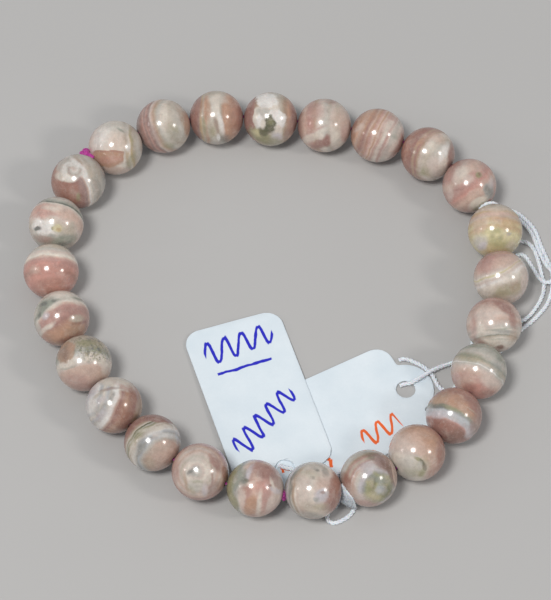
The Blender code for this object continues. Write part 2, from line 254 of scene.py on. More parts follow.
class Stone(Nodes):
    """One bead's stone, laid down in layers. Places are x, y on its upper face, in bead radii."""

    def __init__(self, number, radius, bend=0.2, bend_scale=1.6, ripple=0.055):
        super().__init__(f"stone_{number:02d}")
        self.seed = 3.7 * number
        straight = self.own(1 / radius)
        wide = self.vector("SUBTRACT", self.noise(straight, bend_scale, 1.0, colour=True), Vector((0.5, 0.5, 0.5)))
        fine = self.vector(
            "SUBTRACT", self.noise(straight, 6.5, 2.0, offset=5.0, colour=True), Vector((0.5, 0.5, 0.5))
        )
        bent = self.vector("ADD", straight, self.vector("SCALE", wide, scale=bend))
        self.place = self.vector("ADD", bent, self.vector("SCALE", fine, scale=ripple))
        self.straight = straight
        self.colour = None

    def plane(self, a, b, c):
        """Distance from the flat layer through three surface points; above 0 on the left of the way from a to c."""
        pa, pb, pc = on_bead(*a), on_bead(*b), on_bead(*c)
        normal = (pb - pa).cross(pc - pa).normalized()
        if normal.x * (a[1] - c[1]) + normal.y * (c[0] - a[0]) < 0:
            normal = -normal
        offset = normal.dot(pa)
        socket = self.math("SUBTRACT", self.vector("DOT_PRODUCT", self.place, normal), offset)
        return Field(socket, lambda p: p.dot(normal) - offset)

    def shell(self, x, y, z=None):
        """Distance from a point, for layers that close round it."""
        centre = on_bead(x, y) if z is None else Vector((x, y, z))
        return Field(self.vector("DISTANCE", self.place, centre), lambda p: (p - centre).length)

    def bands(self, field, stops):
        """Colours across a field. A stop's place is a value of the field or a surface point."""
        stops = sorted(((field.value(w), colour) for w, colour in stops), key=lambda s: s[0])
        low, high = stops[0][0], stops[-1][0]
        spread = [((v - low) / (high - low), colour) for v, colour in stops]
        made = self.ramp(self.linear(field.socket, low, high), spread)
        if self.colour is None:
            self.colour = made
        return made

    def lay(self, mask, colour):
        self.colour = self.mix(mask, self.colour, colour)

    def spot(self, x, y, rx, ry, turn=0.0, soft=0.35, rough=0.3, scale=4.0):
        """1 inside a blot, 0 outside it. turn is in degrees."""
        t = math.radians(turn)
        along = Vector((math.cos(t), math.sin(t), 0)) / rx
        across = Vector((-math.sin(t), math.cos(t), 0)) / ry
        off = self.vector("SUBTRACT", self.place, on_bead(x, y))
        flat = self.join(
            self.vector("DOT_PRODUCT", off, along),
            self.vector("DOT_PRODUCT", off, across),
            self.vector("DOT_PRODUCT", off, Vector((0, 0, 0.9))),
        )
        reach = self.vector("LENGTH", flat)
        if rough:
            jitter = self.noise(self.straight, scale, 3.0, offset=11.0 + x * 3 + y * 7)
            reach = self.math("ADD", reach, self.linear(jitter, 0.0, 1.0, -rough, rough))
        return self.step(reach, 1 - soft, 1 + soft, 1.0, 0.0)

    def patch(self, x, y, rx, ry, colour, turn=0.0, soft=0.35, rough=0.3, strength=1.0, within=None):
        mask = self.spot(x, y, rx, ry, turn, soft, rough)
        if within is not None:
            mask = self.math("MULTIPLY", mask, within)
        if strength != 1:
            mask = self.math("MULTIPLY", mask, strength)
        self.lay(mask, colour)

    def line(self, field, at, width, colour, strength=1.0, within=None, soft=0.6):
        """A thin layer where the field has this value or passes this point."""
        off = self.math("ABSOLUTE", self.math("SUBTRACT", field.socket, field.value(at)))
        mask = self.step(off, width * (1 - soft), width, strength, 0.0)
        if within is not None:
            mask = self.math("MULTIPLY", mask, within)
        self.lay(mask, colour)

    def swirl(self, x, y, pitch, turn, width, colour, strength=1.0, hand=1, within=None):
        """A spiral band round a surface point, one turn further out every pitch."""
        off = self.vector("SUBTRACT", self.place, on_bead(x, y))
        u = self.vector("DOT_PRODUCT", off, Vector((1, 0, 0)))
        v = self.vector("DOT_PRODUCT", off, Vector((0, 1, 0)))
        reach = self.math("SQRT", self.math("ADD", self.math("MULTIPLY", u, u), self.math("MULTIPLY", v, v)))
        turned = self.math("MULTIPLY", self.math("ARCTAN2", v, u), hand / (2 * math.pi))
        wind = self.math("ADD", self.math("DIVIDE", reach, pitch), self.math("ADD", turned, turn))
        off_band = self.math("ABSOLUTE", self.math("SUBTRACT", self.math("FRACT", wind), 0.5))
        mask = self.step(off_band, width * 0.5, width, strength, 0.0)
        if within is not None:
            mask = self.math("MULTIPLY", mask, within)
        self.lay(mask, colour)

    def above(self, field, at=0.0, soft=0.03):
        """1 where the field is over this value."""
        v = field.value(at)
        return self.step(field.socket, v - soft, v + soft)

    def below(self, field, at=0.0, soft=0.03):
        v = field.value(at)
        return self.step(field.socket, v - soft, v + soft, 1.0, 0.0)

    def layers(self, field, scale, amount, offset=0.0):
        """Fine light and dark layers along a field."""
        n = self.noise_along(field.socket, scale, 3.0, offset)
        grey = self.linear(n, 0.3, 0.7, 1 - amount, 1 + amount)
        self.colour = self.vector("SCALE", self.colour, scale=grey)

    def specks(self, within, colour, scale=16.0, level=0.62, strength=0.8):
        n = self.noise(self.straight, scale, 2.0, 0.6, offset=23.0)
        mask = self.math("MULTIPLY", self.step(n, level, level + 0.06, 0.0, strength), within)
        self.lay(mask, colour)

    def shade(self, amount):
        """Darker below 1, lighter above it."""
        self.colour = self.vector("SCALE", self.colour, scale=amount)

    def finish(self):
        """Grain, faint white veins, and the polished surface."""
        cloud = self.noise(self.place, 2.4, 5.0, 0.62, offset=29.0)
        blush = self.noise(self.place, 2.9, 5.0, 0.62, offset=53.0)
        self.lay(self.step(cloud, 0.48, 0.72, 0.0, 0.34), PINK_CREAM)
        self.lay(self.step(blush, 0.50, 0.76, 0.0, 0.30), MAUVE)
        mottle = self.noise(self.straight, 4.2, 5.0, 0.68, offset=31.0)
        grain = self.noise(self.straight, 16.0, 3.0, 0.7, offset=37.0)
        self.colour = self.vector("SCALE", self.colour, scale=self.linear(mottle, 0.25, 0.75, 0.82, 1.16))
        self.colour = self.vector("SCALE", self.colour, scale=self.linear(grain, 0.25, 0.75, 0.92, 1.08))
        vein = self.math("ABSOLUTE", self.math("SUBTRACT", self.noise(self.place, 2.6, 3.0, 0.55, offset=41.0), 0.5))
        self.lay(self.step(vein, 0.0, 0.014, 0.10, 0.0), WHITE)
        pit = self.noise(self.straight, 9.0, 4.0, 0.75, offset=61.0)
        self.lay(self.step(pit, 0.60, 0.72, 0.0, 0.35), GREY)
        self.feed(self.shader.inputs["Base Color"], self.colour)
        self.feed(self.shader.inputs["Roughness"], self.linear(grain, 0.2, 0.8, 0.13, 0.2))
        self.shader.inputs["IOR"].default_value = 1.62
        self.shader.inputs["Subsurface Weight"].default_value = 0.12
        self.shader.inputs["Subsurface Radius"].default_value = (1.0, 0.6, 0.5)
        self.shader.inputs["Subsurface Scale"].default_value = 0.0005
        return self.material


def stone_01(s):
    f = s.plane((0.42, -0.85), (0.3, 0.0), (0.2, 0.85))
    s.bands(f, [(-0.8, BEIGE), (-0.55, GREY_CREAM), (-0.4, BEIGE), (-0.3, OCHRE), (-0.22, CREAM), (-0.1, BEIGE), (0.0, CREAM),
                (0.12, CREAM), (0.5, CREAM), (0.9, PINK_CREAM), (1.3, PEACH)])
    s.layers(f, 5, 0.06)
    s.patch(0.1, 0.7, 0.6, 0.2, GREY_CREAM, turn=-8, soft=0.5, strength=0.7)
    s.patch(0.05, 0.15, 0.4, 0.4, PEACH, soft=0.6, strength=0.5)
    s.patch(-0.5, 0.3, 0.3, 0.5, WHITE, turn=-25, soft=0.6, strength=0.6)
    s.patch(0.6, 0.3, 0.06, 0.35, OLIVE, turn=10, soft=0.7, strength=0.6)
    s.patch(0.62, -0.5, 0.12, 0.3, OLIVE, turn=-25, soft=0.6, strength=0.55)
    s.patch(0.48, -0.2, 0.07, 0.3, OCHRE, soft=0.6, strength=0.6)
    cut = s.plane((-0.8, -0.12), (-0.2, -0.12), (0.3, -0.16))
    side = s.plane((0.32, -0.9), (0.34, -0.4), (0.36, 0.1))
    box = s.math("MULTIPLY", s.below(cut, 0, 0.02), s.above(side, 0, 0.03))
    s.patch(-0.2, -0.3, 0.62, 0.52, TAN_ORANGE, soft=0.12, rough=0.12, within=box)
    s.patch(-0.2, -0.5, 0.5, 0.14, SALMON, soft=0.5, strength=0.5, within=box)
    s.line(cut, -0.04, 0.05, ROSE_BROWN, 0.5, within=s.math("MULTIPLY", box, s.spot(-0.2, -0.15, 0.55, 0.2)))
    s.patch(0.2, 0.63, 0.14, 0.04, GREY_GREEN, turn=-35, soft=0.6, strength=0.8)
    s.patch(0.5, -0.02, 0.1, 0.16, WHITE, soft=0.6, strength=0.8)
    s.patch(-0.1, -0.92, 0.7, 0.16, PEACH, strength=0.8)


def stone_02(s):
    f = s.plane((0.07, -0.8), (-0.34, 0.1), (-0.28, 0.83))
    s.bands(f, [(-1.3, TAN), (-1.05, BEIGE), (-0.75, GREY_CREAM), (-0.45, BEIGE), (-0.3, CREAM), (-0.2, GREY_CREAM),
                (-0.12, BEIGE), (-0.04, TAN), (0.03, PEACH), (0.1, PINK_CREAM), (0.17, MAUVE),
                (0.24, ROSE_BROWN), (0.31, ROSE), (0.38, MAUVE), (0.47, ROSE), (0.56, ROSE_BROWN), (0.7, MAUVE)])
    s.layers(f, 4, 0.07)
    s.patch(-0.35, -0.3, 0.13, 0.5, MAUVE, turn=24, soft=0.5, strength=0.6)
    s.patch(0.1, 0.45, 0.13, 0.4, CREAM, turn=4, strength=0.8, soft=0.6)
    s.patch(0.72, 0.35, 0.16, 0.5, TAN, turn=25, strength=0.6, soft=0.6)
    s.patch(0.92, 0.1, 0.12, 0.6, TAN_ORANGE, strength=0.7, soft=0.5)
    s.patch(0.35, -0.45, 0.35, 0.3, GREY_GREEN, strength=0.4, soft=0.7)
    s.patch(0.45, -0.15, 0.2, 0.1, OLIVE, turn=-30, strength=0.4, soft=0.7)
    s.patch(0.2, -0.75, 0.2, 0.14, OLIVE, strength=0.5, soft=0.7)


def stone_03(s):
    f = s.plane((0.29, -0.82), (0.2, -0.1), (0.29, 0.82))
    s.bands(f, [(-0.75, MAUVE), (-0.55, TERRACOTTA), (-0.2, TAN_ORANGE), (-0.05, TAN_ORANGE), (0.04, BEIGE), (0.12, CREAM),
                (0.2, CREAM), (0.38, GREY_CREAM), (0.5, BEIGE), (0.58, TAN_ORANGE),
                (0.72, BEIGE), (0.78, OCHRE), (0.86, MAUVE), (0.98, ROSE_BROWN)])
    s.layers(f, 5, 0.08)
    s.patch(-0.3, 0.3, 0.12, 0.5, TAN_ORANGE, strength=0.7, soft=0.6)
    s.patch(-0.62, 0.3, 0.12, 0.35, TERRACOTTA, turn=-15, strength=0.6, soft=0.6)
    s.patch(-0.45, -0.35, 0.05, 0.35, OLIVE, turn=5, strength=0.7, soft=0.7, rough=0.6)
    s.patch(-0.1, -0.45, 0.3, 0.36, BEIGE, strength=0.85, soft=0.5)
    s.patch(0.0, -0.35, 0.07, 0.3, BROWN, turn=18, strength=0.5, soft=0.7, rough=0.5)
    s.patch(-0.15, -0.6, 0.12, 0.2, OLIVE, strength=0.5, soft=0.7)
    s.patch(0.08, 0.7, 0.3, 0.3, CREAM, strength=0.7, soft=0.6)
    s.patch(0.28, -0.82, 0.26, 0.15, DARK_GREY, strength=0.6, soft=0.6)
    s.patch(0.17, -0.3, 0.09, 0.4, WHITE, turn=16, strength=0.75, soft=0.6)
    s.patch(0.08, -0.8, 0.07, 0.14, WHITE, strength=0.9)
    s.patch(-0.1, 0.9, 0.5, 0.1, BEIGE, soft=0.6, strength=0.7)


def stone_04(s):
    f = s.plane((0.42, -0.85), (0.4, 0.0), (0.42, 0.85))
    s.bands(f, [(-0.6, ROSE_BROWN), (-0.4, ROSE_BROWN), (-0.25, TAN_ORANGE), (-0.12, TAN), (0.0, BEIGE), (0.2, GREY_CREAM), (0.5, BEIGE),
                (0.9, TAN), (1.05, ROSE_BROWN), (1.4, ROSE_BROWN)])
    s.layers(f, 5, 0.08)
    s.patch(-0.04, 0.5, 0.34, 0.4, CREAM, turn=-30, soft=0.2, rough=0.4)
    s.patch(-0.14, 0.68, 0.44, 0.3, WHITE, turn=-8, soft=0.12, rough=0.5)
    s.patch(-0.45, 0.0, 0.2, 0.46, CREAM, turn=6, soft=0.15, rough=0.5)
    s.patch(-0.4, -0.2, 0.14, 0.4, WHITE, turn=-4, soft=0.3, rough=0.6)
    s.patch(-0.1, 0.12, 0.4, 0.2, GREY_CREAM, turn=-25, soft=0.3, rough=0.5)
    s.patch(0.22, -0.08, 0.3, 0.4, WHITE, turn=10, soft=0.2, rough=0.5)
    s.patch(0.26, -0.5, 0.16, 0.2, CREAM, soft=0.4, rough=0.5)
    s.patch(-0.4, -0.64, 0.46, 0.2, OLIVE, turn=-24, soft=0.4, strength=0.95, rough=0.5)
    s.patch(-0.48, -0.58, 0.2, 0.1, YELLOW, turn=-20, soft=0.6, strength=0.8)
    s.patch(-0.05, -0.26, 0.24, 0.34, DARK_OLIVE, turn=-12, soft=0.2, rough=0.5)
    s.patch(0.0, -0.18, 0.12, 0.12, OLIVE, soft=0.7, strength=0.6)
    s.patch(-0.25, -0.52, 0.18, 0.16, DARK_OLIVE, soft=0.4, strength=0.9, rough=0.5)
    s.patch(-0.28, -0.22, 0.09, 0.2, CREAM, soft=0.4, rough=0.5, strength=0.9)
    s.patch(0.24, -0.7, 0.16, 0.14, LAVENDER, soft=0.5, strength=0.9)
    s.patch(0.0, -0.86, 0.45, 0.14, OLIVE, soft=0.5, strength=0.6)
    s.patch(0.72, -0.3, 0.14, 0.4, MAUVE, turn=-15, soft=0.6, strength=0.6)


def stone_05(s):
    f = s.plane((0.1, -0.75), (0.0, 0.1), (0.1, 0.85))
    s.bands(f, [(-0.9, ROSE), (-0.6, PINK_CREAM), (-0.35, BEIGE), (-0.2, PINK_CREAM), (-0.1, BEIGE), (0.0, GREY_CREAM),
                (0.12, CREAM), (0.25, PINK_CREAM), (0.4, TAN), (0.6, ROSE), (0.8, PEACH), (1.1, ROSE_BROWN)])
    s.layers(f, 4, 0.05)
    s.patch(0.02, 0.2, 0.16, 0.5, GREY_CREAM, strength=0.75, soft=0.7)
    s.patch(-0.3, 0.5, 0.3, 0.3, ROSE, turn=30, strength=0.6, soft=0.6)
    s.patch(-0.55, 0.0, 0.2, 0.25, SALMON, strength=0.5, soft=0.6)
    s.patch(-0.45, -0.45, 0.5, 0.15, CREAM, turn=25, soft=0.5, strength=0.7)
    s.patch(-0.4, -0.25, 0.45, 0.05, ROSE, turn=25, soft=0.6, strength=0.6)
    s.patch(-0.15, -0.72, 0.34, 0.16, ROSE_BROWN, turn=20, soft=0.4, rough=0.4, strength=0.9)
    s.patch(0.08, -0.62, 0.15, 0.24, ROSE_BROWN, turn=-8, soft=0.4, rough=0.4)
    s.patch(0.4, -0.5, 0.18, 0.35, CREAM, turn=15, soft=0.6, strength=0.8)
    s.patch(0.6, 0.2, 0.3, 0.35, PEACH, strength=0.7, soft=0.7)
    s.patch(0.75, -0.35, 0.12, 0.35, ROSE, turn=15, strength=0.6, soft=0.6)
    s.patch(0.2, 0.85, 0.3, 0.1, ROSE_BROWN, strength=0.5, soft=0.6)


def stone_06(s):
    f = s.plane((-0.35, -0.85), (0.0, 0.0), (0.45, 0.8))
    s.bands(f, [(-1.2, ROSE), (-0.8, ROSE), (-0.66, PINK_CREAM), (-0.5, GREY_CREAM), (-0.42, PINK_CREAM), (-0.34, ROSE),
                (-0.28, PINK_CREAM), (-0.2, CREAM), (-0.12, PEACH), (-0.06, ROSE), (0.0, PEACH), (0.06, TAN_ORANGE),
                (0.12, PEACH), (0.2, ROSE), (0.27, TAN_ORANGE), (0.36, PEACH), (0.45, ROSE_BROWN), (0.55, TAN_ORANGE),
                (0.66, PEACH), (0.8, TAN_ORANGE), (1.1, ROSE_BROWN)])
    s.layers(f, 9, 0.1)
    s.patch(-0.72, 0.25, 0.2, 0.08, PINK_CREAM, turn=50, soft=0.6, strength=0.8)
    s.patch(-0.25, 0.7, 0.35, 0.2, TAN_ORANGE, turn=30, soft=0.6, strength=0.6)
    s.patch(-0.6, -0.35, 0.2, 0.4, ROSE_BROWN, turn=-25, soft=0.6, strength=0.6)
    s.patch(0.4, 0.35, 0.2, 0.4, PINK_CREAM, turn=-30, soft=0.6, strength=0.6)
    s.patch(0.64, -0.05, 0.14, 0.3, GREY_CREAM, turn=-10, soft=0.6, strength=0.7)
    s.patch(0.6, -0.08, 0.1, 0.08, GREY_GREEN, soft=0.7, strength=0.5)
    s.patch(0.15, -0.6, 0.3, 0.25, MAUVE, turn=40, soft=0.6, strength=0.45)
    s.patch(0.55, 0.62, 0.16, 0.12, ROSE, soft=0.6, strength=0.7)


def stone_07(s):
    f = s.plane((-0.55, -0.4), (-0.35, 0.29), (0.33, 0.83))
    s.bands(f, [(-1.4, ROSE_BROWN), (-1.15, ROSE), (-0.98, PEACH), (-0.85, CREAM), (-0.7, CREAM),
                (-0.55, GREY_CREAM), (-0.42, BEIGE), (-0.28, CREAM), (-0.2, PINK_CREAM), (-0.1, TAN), (0.0, ROSE_BROWN),
                (0.1, TAN), (0.2, ROSE_BROWN), (0.35, TERRACOTTA)])
    s.layers(f, 6, 0.08)
    s.patch(-0.25, -0.35, 0.16, 0.5, BEIGE, turn=-12, soft=0.6, strength=0.7)
    s.patch(-0.12, -0.68, 0.2, 0.16, OLIVE, soft=0.5, strength=0.85, rough=0.5)
    s.patch(0.1, 0.2, 0.35, 0.16, CREAM, turn=35, soft=0.6, strength=0.6)
    s.patch(0.2, -0.45, 0.3, 0.4, PINK_CREAM, turn=-25, soft=0.5, strength=0.8)
    s.patch(0.55, 0.0, 0.14, 0.4, WHITE, turn=-20, soft=0.5, strength=0.75)
    s.patch(0.5, -0.5, 0.12, 0.3, CREAM, turn=-20, soft=0.6, strength=0.7)
    s.patch(0.3, 0.6, 0.3, 0.2, PEACH, turn=-35, soft=0.6, strength=0.6)
    s.patch(0.86, -0.15, 0.15, 0.6, ROSE_BROWN, turn=-5, soft=0.4, strength=0.9)
    s.patch(-0.3, 0.45, 0.3, 0.07, TAN_ORANGE, turn=40, soft=0.6, strength=0.7)


def stone_08(s):
    f = s.plane((-0.8, -0.2), (-0.1, 0.3), (0.4, 0.85))
    s.bands(f, [(-1.5, ROSE_BROWN), (-1.1, ROSE), (-0.7, PEACH), (-0.4, SALMON), (-0.2, ROSE), (-0.05, ROSE),
                (0.1, PEACH), (0.25, ROSE), (0.5, ROSE_BROWN)])
    s.layers(f, 5, 0.06)
    s.patch(-0.3, 0.5, 0.22, 0.4, CREAM, turn=-35, soft=0.6, strength=0.85, rough=0.4)
    s.patch(-0.1, 0.2, 0.2, 0.14, PINK_CREAM, turn=30, soft=0.6, strength=0.7)
    s.patch(0.15, 0.7, 0.3, 0.2, PEACH, turn=-20, soft=0.6, strength=0.7)
    s.patch(-0.75, -0.3, 0.12, 0.3, PINK_CREAM, soft=0.6, strength=0.6)
    s.patch(0.3, 0.35, 0.12, 0.11, OLIVE, turn=20, soft=0.5, strength=0.9, rough=0.5)
    s.patch(0.33, 0.38, 0.05, 0.06, BROWN, soft=0.6, strength=0.7)
    s.patch(0.66, -0.22, 0.2, 0.28, GREY, soft=0.3, rough=0.5)
    s.patch(0.6, -0.14, 0.1, 0.08, DARK_GREY, soft=0.6, strength=0.5)
    s.patch(0.78, 0.08, 0.12, 0.2, LAVENDER, soft=0.6, strength=0.6)
    s.patch(0.3, -0.66, 0.42, 0.17, CREAM, turn=32, soft=0.3)
    s.patch(0.35, -0.76, 0.36, 0.05, OLIVE, turn=32, soft=0.6, strength=0.6)
    s.patch(-0.35, -0.1, 0.3, 0.05, ROSE_BROWN, turn=10, soft=0.6, strength=0.5)
    s.patch(0.1, -0.35, 0.3, 0.16, PEACH, turn=30, strength=0.6)


def stone_09(s):
    f = s.plane((-0.9, 0.25), (0.0, 0.46), (0.9, 0.25))
    s.bands(f, [(-1.6, YELLOW), (-1.1, OCHRE), (-0.8, YELLOW), (-0.5, YELLOW), (-0.3, OCHRE), (-0.18, YELLOW), (-0.05, OCHRE),
                (0.08, BEIGE), (0.18, PEACH), (0.3, OCHRE), (0.45, BEIGE)])
    s.layers(f, 5, 0.06)
    s.patch(0.0, 0.6, 0.6, 0.08, PEACH, turn=2, soft=0.6, strength=0.8)
    s.patch(-0.1, 0.74, 0.5, 0.06, PINK_CREAM, soft=0.7, strength=0.6)
    s.patch(0.25, 0.36, 0.5, 0.14, TAN_ORANGE, turn=-8, soft=0.7, strength=0.6)
    s.patch(0.5, 0.2, 0.3, 0.2, OCHRE, turn=-20, soft=0.6, strength=0.7)
    s.patch(-0.6, 0.2, 0.24, 0.3, PEACH, turn=-20, soft=0.6, strength=0.6)
    s.patch(0.3, 0.1, 0.24, 0.08, TAN, turn=-10, soft=0.7, strength=0.4)
    s.patch(0.0, -0.15, 0.45, 0.24, YELLOW, soft=0.6, strength=0.8)
    s.patch(-0.05, -0.02, 0.2, 0.1, GREEN_OLIVE, turn=10, soft=0.7, strength=0.6, rough=0.6)
    s.patch(-0.15, -0.22, 0.12, 0.08, OLIVE, turn=40, soft=0.7, strength=0.5, rough=0.6)
    s.patch(0.15, -0.25, 0.1, 0.12, OLIVE, turn=-30, soft=0.7, strength=0.5, rough=0.6)
    s.patch(0.48, -0.12, 0.08, 0.07, GREY, soft=0.7, strength=0.7)
    s.patch(0.1, -0.5, 0.4, 0.2, GREEN_OLIVE, turn=-10, soft=0.7, strength=0.6, rough=0.6)
    s.patch(-0.6, -0.4, 0.25, 0.24, GREY_CREAM, turn=30, soft=0.6, strength=0.9)
    s.patch(-0.5, -0.55, 0.16, 0.12, LAVENDER, turn=30, soft=0.6, strength=0.8)
    s.patch(0.6, -0.55, 0.2, 0.2, BEIGE, soft=0.6, strength=0.6)
    s.shade(1.1)


def stone_10(s):
    f = s.plane((-0.94, -0.13), (-0.1, 0.2), (0.55, 0.55))
    s.bands(f, [(-1.2, PINK_CREAM), (-0.85, BEIGE), (-0.6, BEIGE), (-0.42, BEIGE), (-0.34, CREAM), (-0.24, WHITE),
                (-0.12, PINK_CREAM), (-0.04, CREAM), (0.0, YELLOW), (0.05, CREAM), (0.1, PINK_CREAM),
                (0.25, PEACH), (0.5, ROSE), (0.8, ROSE_BROWN)])
    s.layers(f, 5, 0.06)
    s.patch(-0.6, 0.35, 0.3, 0.22, ROSE, turn=30, soft=0.5, strength=0.8)
    s.patch(0.2, 0.62, 0.4, 0.24, PEACH, soft=0.6, strength=0.7)
    s.patch(0.35, 0.05, 0.5, 0.15, CREAM, turn=10, soft=0.6, strength=0.8)
    s.patch(0.2, -0.42, 0.6, 0.2, OLIVE, turn=10, soft=0.4, strength=0.55)
    s.patch(0.45, -0.3, 0.2, 0.2, TAN, soft=0.6, strength=0.4)
    s.patch(-0.5, -0.45, 0.3, 0.2, CREAM, turn=25, soft=0.5, strength=0.7)
    s.patch(0.84, -0.2, 0.16, 0.6, PINK_CREAM, soft=0.3, strength=0.95)


def stone_11(s):
    f = s.plane((-0.6, -0.43), (0.15, -0.29), (0.8, -0.5))
    s.bands(f, [(-0.7, ROSE_BROWN), (-0.45, ROSE), (-0.36, PINK_CREAM), (-0.26, CREAM), (-0.1, CREAM), (-0.03, BEIGE),
                (0.0, GREY_GREEN), (0.03, GREY_CREAM), (0.08, GREY_CREAM), (0.16, CREAM), (0.25, GREY_CREAM),
                (0.35, PINK_CREAM), (0.5, PEACH), (0.7, PINK_CREAM), (0.95, PEACH), (1.3, ROSE)])
    s.layers(f, 5, 0.06)
    s.patch(0.35, 0.62, 0.45, 0.15, ROSE_BROWN, turn=-38, soft=0.5, strength=0.85)
    s.patch(0.62, 0.2, 0.12, 0.4, ROSE_BROWN, turn=12, soft=0.5, strength=0.7)
    s.patch(-0.1, 0.82, 0.4, 0.1, TERRACOTTA, turn=5, soft=0.5, strength=0.5)
    s.patch(-0.35, 0.25, 0.35, 0.45, PINK_CREAM, turn=-10, soft=0.6, strength=0.85)
    s.patch(-0.78, -0.05, 0.12, 0.5, ROSE, soft=0.6, strength=0.6)
    s.patch(-0.55, -0.15, 0.14, 0.35, CREAM, soft=0.6, strength=0.7)
    s.patch(0.1, -0.12, 0.4, 0.04, GREY_GREEN, turn=3, soft=0.7, strength=0.7, rough=0.5)
    s.patch(0.35, -0.2, 0.35, 0.05, GREY, turn=-8, soft=0.7, strength=0.7, rough=0.5)
    s.patch(0.15, -0.48, 0.5, 0.04, GREY_GREEN, turn=-2, soft=0.7, strength=0.4, rough=0.5)
    s.patch(0.62, -0.42, 0.16, 0.2, TAN, turn=-20, soft=0.7, strength=0.6)
    s.patch(0.15, -0.64, 0.45, 0.14, CREAM, turn=-4, soft=0.5, strength=0.9)
    s.patch(0.2, -0.8, 0.16, 0.08, BROWN, soft=0.5, strength=0.9)
    s.patch(-0.45, -0.7, 0.3, 0.14, ROSE_BROWN, turn=-35, soft=0.6, strength=0.7)


def stone_12(s):
    f = s.plane((-0.94, 0.3), (-0.1, 0.28), (0.8, -0.35))
    s.bands(f, [(-1.3, ROSE_BROWN), (-0.8, SALMON), (-0.5, ROSE), (-0.3, PEACH), (-0.12, PINK_CREAM),
                (-0.03, GREY_CREAM), (0.0, WHITE), (0.04, GREY_CREAM), (0.14, BEIGE), (0.25, GREY_GREEN),
                (0.4, GREY_CREAM), (0.6, GREY_GREEN)])
    s.layers(f, 4, 0.05)
    s.patch(-0.35, 0.52, 0.5, 0.14, OLIVE, turn=-5, soft=0.7, strength=0.4, rough=0.5)
    s.patch(0.3, 0.62, 0.35, 0.2, GREY_CREAM, turn=-25, soft=0.5, strength=0.6)
    s.patch(0.6, 0.25, 0.25, 0.2, GREY, turn=-40, soft=0.6, strength=0.6)
    s.patch(-0.15, 0.75, 0.3, 0.1, GREY_CREAM, soft=0.5, strength=0.6)
    s.patch(0.7, -0.1, 0.1, 0.2, GREY_GREEN, turn=25, soft=0.6, strength=0.6)
    s.patch(-0.45, -0.4, 0.4, 0.3, PEACH, turn=-15, soft=0.5, strength=0.7)
    s.patch(-0.15, -0.62, 0.42, 0.18, SALMON, turn=-8, soft=0.5, strength=0.9)
    s.patch(-0.35, -0.55, 0.2, 0.14, ROSE_BROWN, soft=0.6, strength=0.5)
    s.patch(0.35, -0.3, 0.35, 0.2, PINK_CREAM, turn=-25, soft=0.5, strength=0.8)
    s.patch(0.3, -0.75, 0.3, 0.14, TERRACOTTA, soft=0.6, strength=0.7)


def stone_13(s):
    f = s.plane((-0.95, 0.2), (-0.24, 0.12), (0.58, -0.42))
    s.bands(f, [(-1.2, MAUVE), (-0.8, ROSE_BROWN), (-0.4, ROSE_BROWN), (-0.26, ROSE_BROWN), (-0.2, ROSE), (-0.13, LAVENDER),
                (-0.04, SILVER), (0.05, SILVER), (0.12, GREY), (0.19, GREY_GREEN), (0.25, TAN),
                (0.4, TAN_ORANGE), (0.6, ROSE_BROWN), (0.8, TERRACOTTA)])
    s.layers(f, 5, 0.06)
    s.patch(-0.55, 0.38, 0.3, 0.09, DARK_GREY, turn=-8, soft=0.5, strength=0.75, rough=0.4)
    s.patch(-0.15, 0.28, 0.35, 0.06, OLIVE, turn=-20, soft=0.7, strength=0.7)
    s.patch(-0.6, 0.1, 0.3, 0.14, LAVENDER, turn=-10, soft=0.5, strength=0.8)
    s.patch(0.3, -0.2, 0.35, 0.12, SILVER, turn=-35, soft=0.5, strength=0.8)
    s.patch(0.5, -0.55, 0.12, 0.25, LAVENDER, turn=-20, soft=0.5, strength=0.85)
    s.line(f, 0.5, 0.03, BEIGE, 0.6, within=s.spot(0.35, 0.25, 0.5, 0.3, soft=0.5))
    s.patch(0.78, -0.4, 0.25, 0.5, MAUVE, soft=0.5, strength=0.8)
    s.patch(0.1, 0.55, 0.45, 0.22, TAN_ORANGE, turn=-20, soft=0.5, strength=0.8)
    s.patch(-0.5, 0.62, 0.3, 0.14, TAN, turn=25, soft=0.6, strength=0.7)
    s.patch(0.55, 0.6, 0.3, 0.2, ROSE_BROWN, turn=-40, soft=0.5, strength=0.7)
    s.patch(-0.2, -0.35, 0.4, 0.2, TERRACOTTA, turn=-15, soft=0.6, strength=0.6)
    s.patch(0.0, -0.7, 0.4, 0.2, BROWN, soft=0.7, strength=0.6)


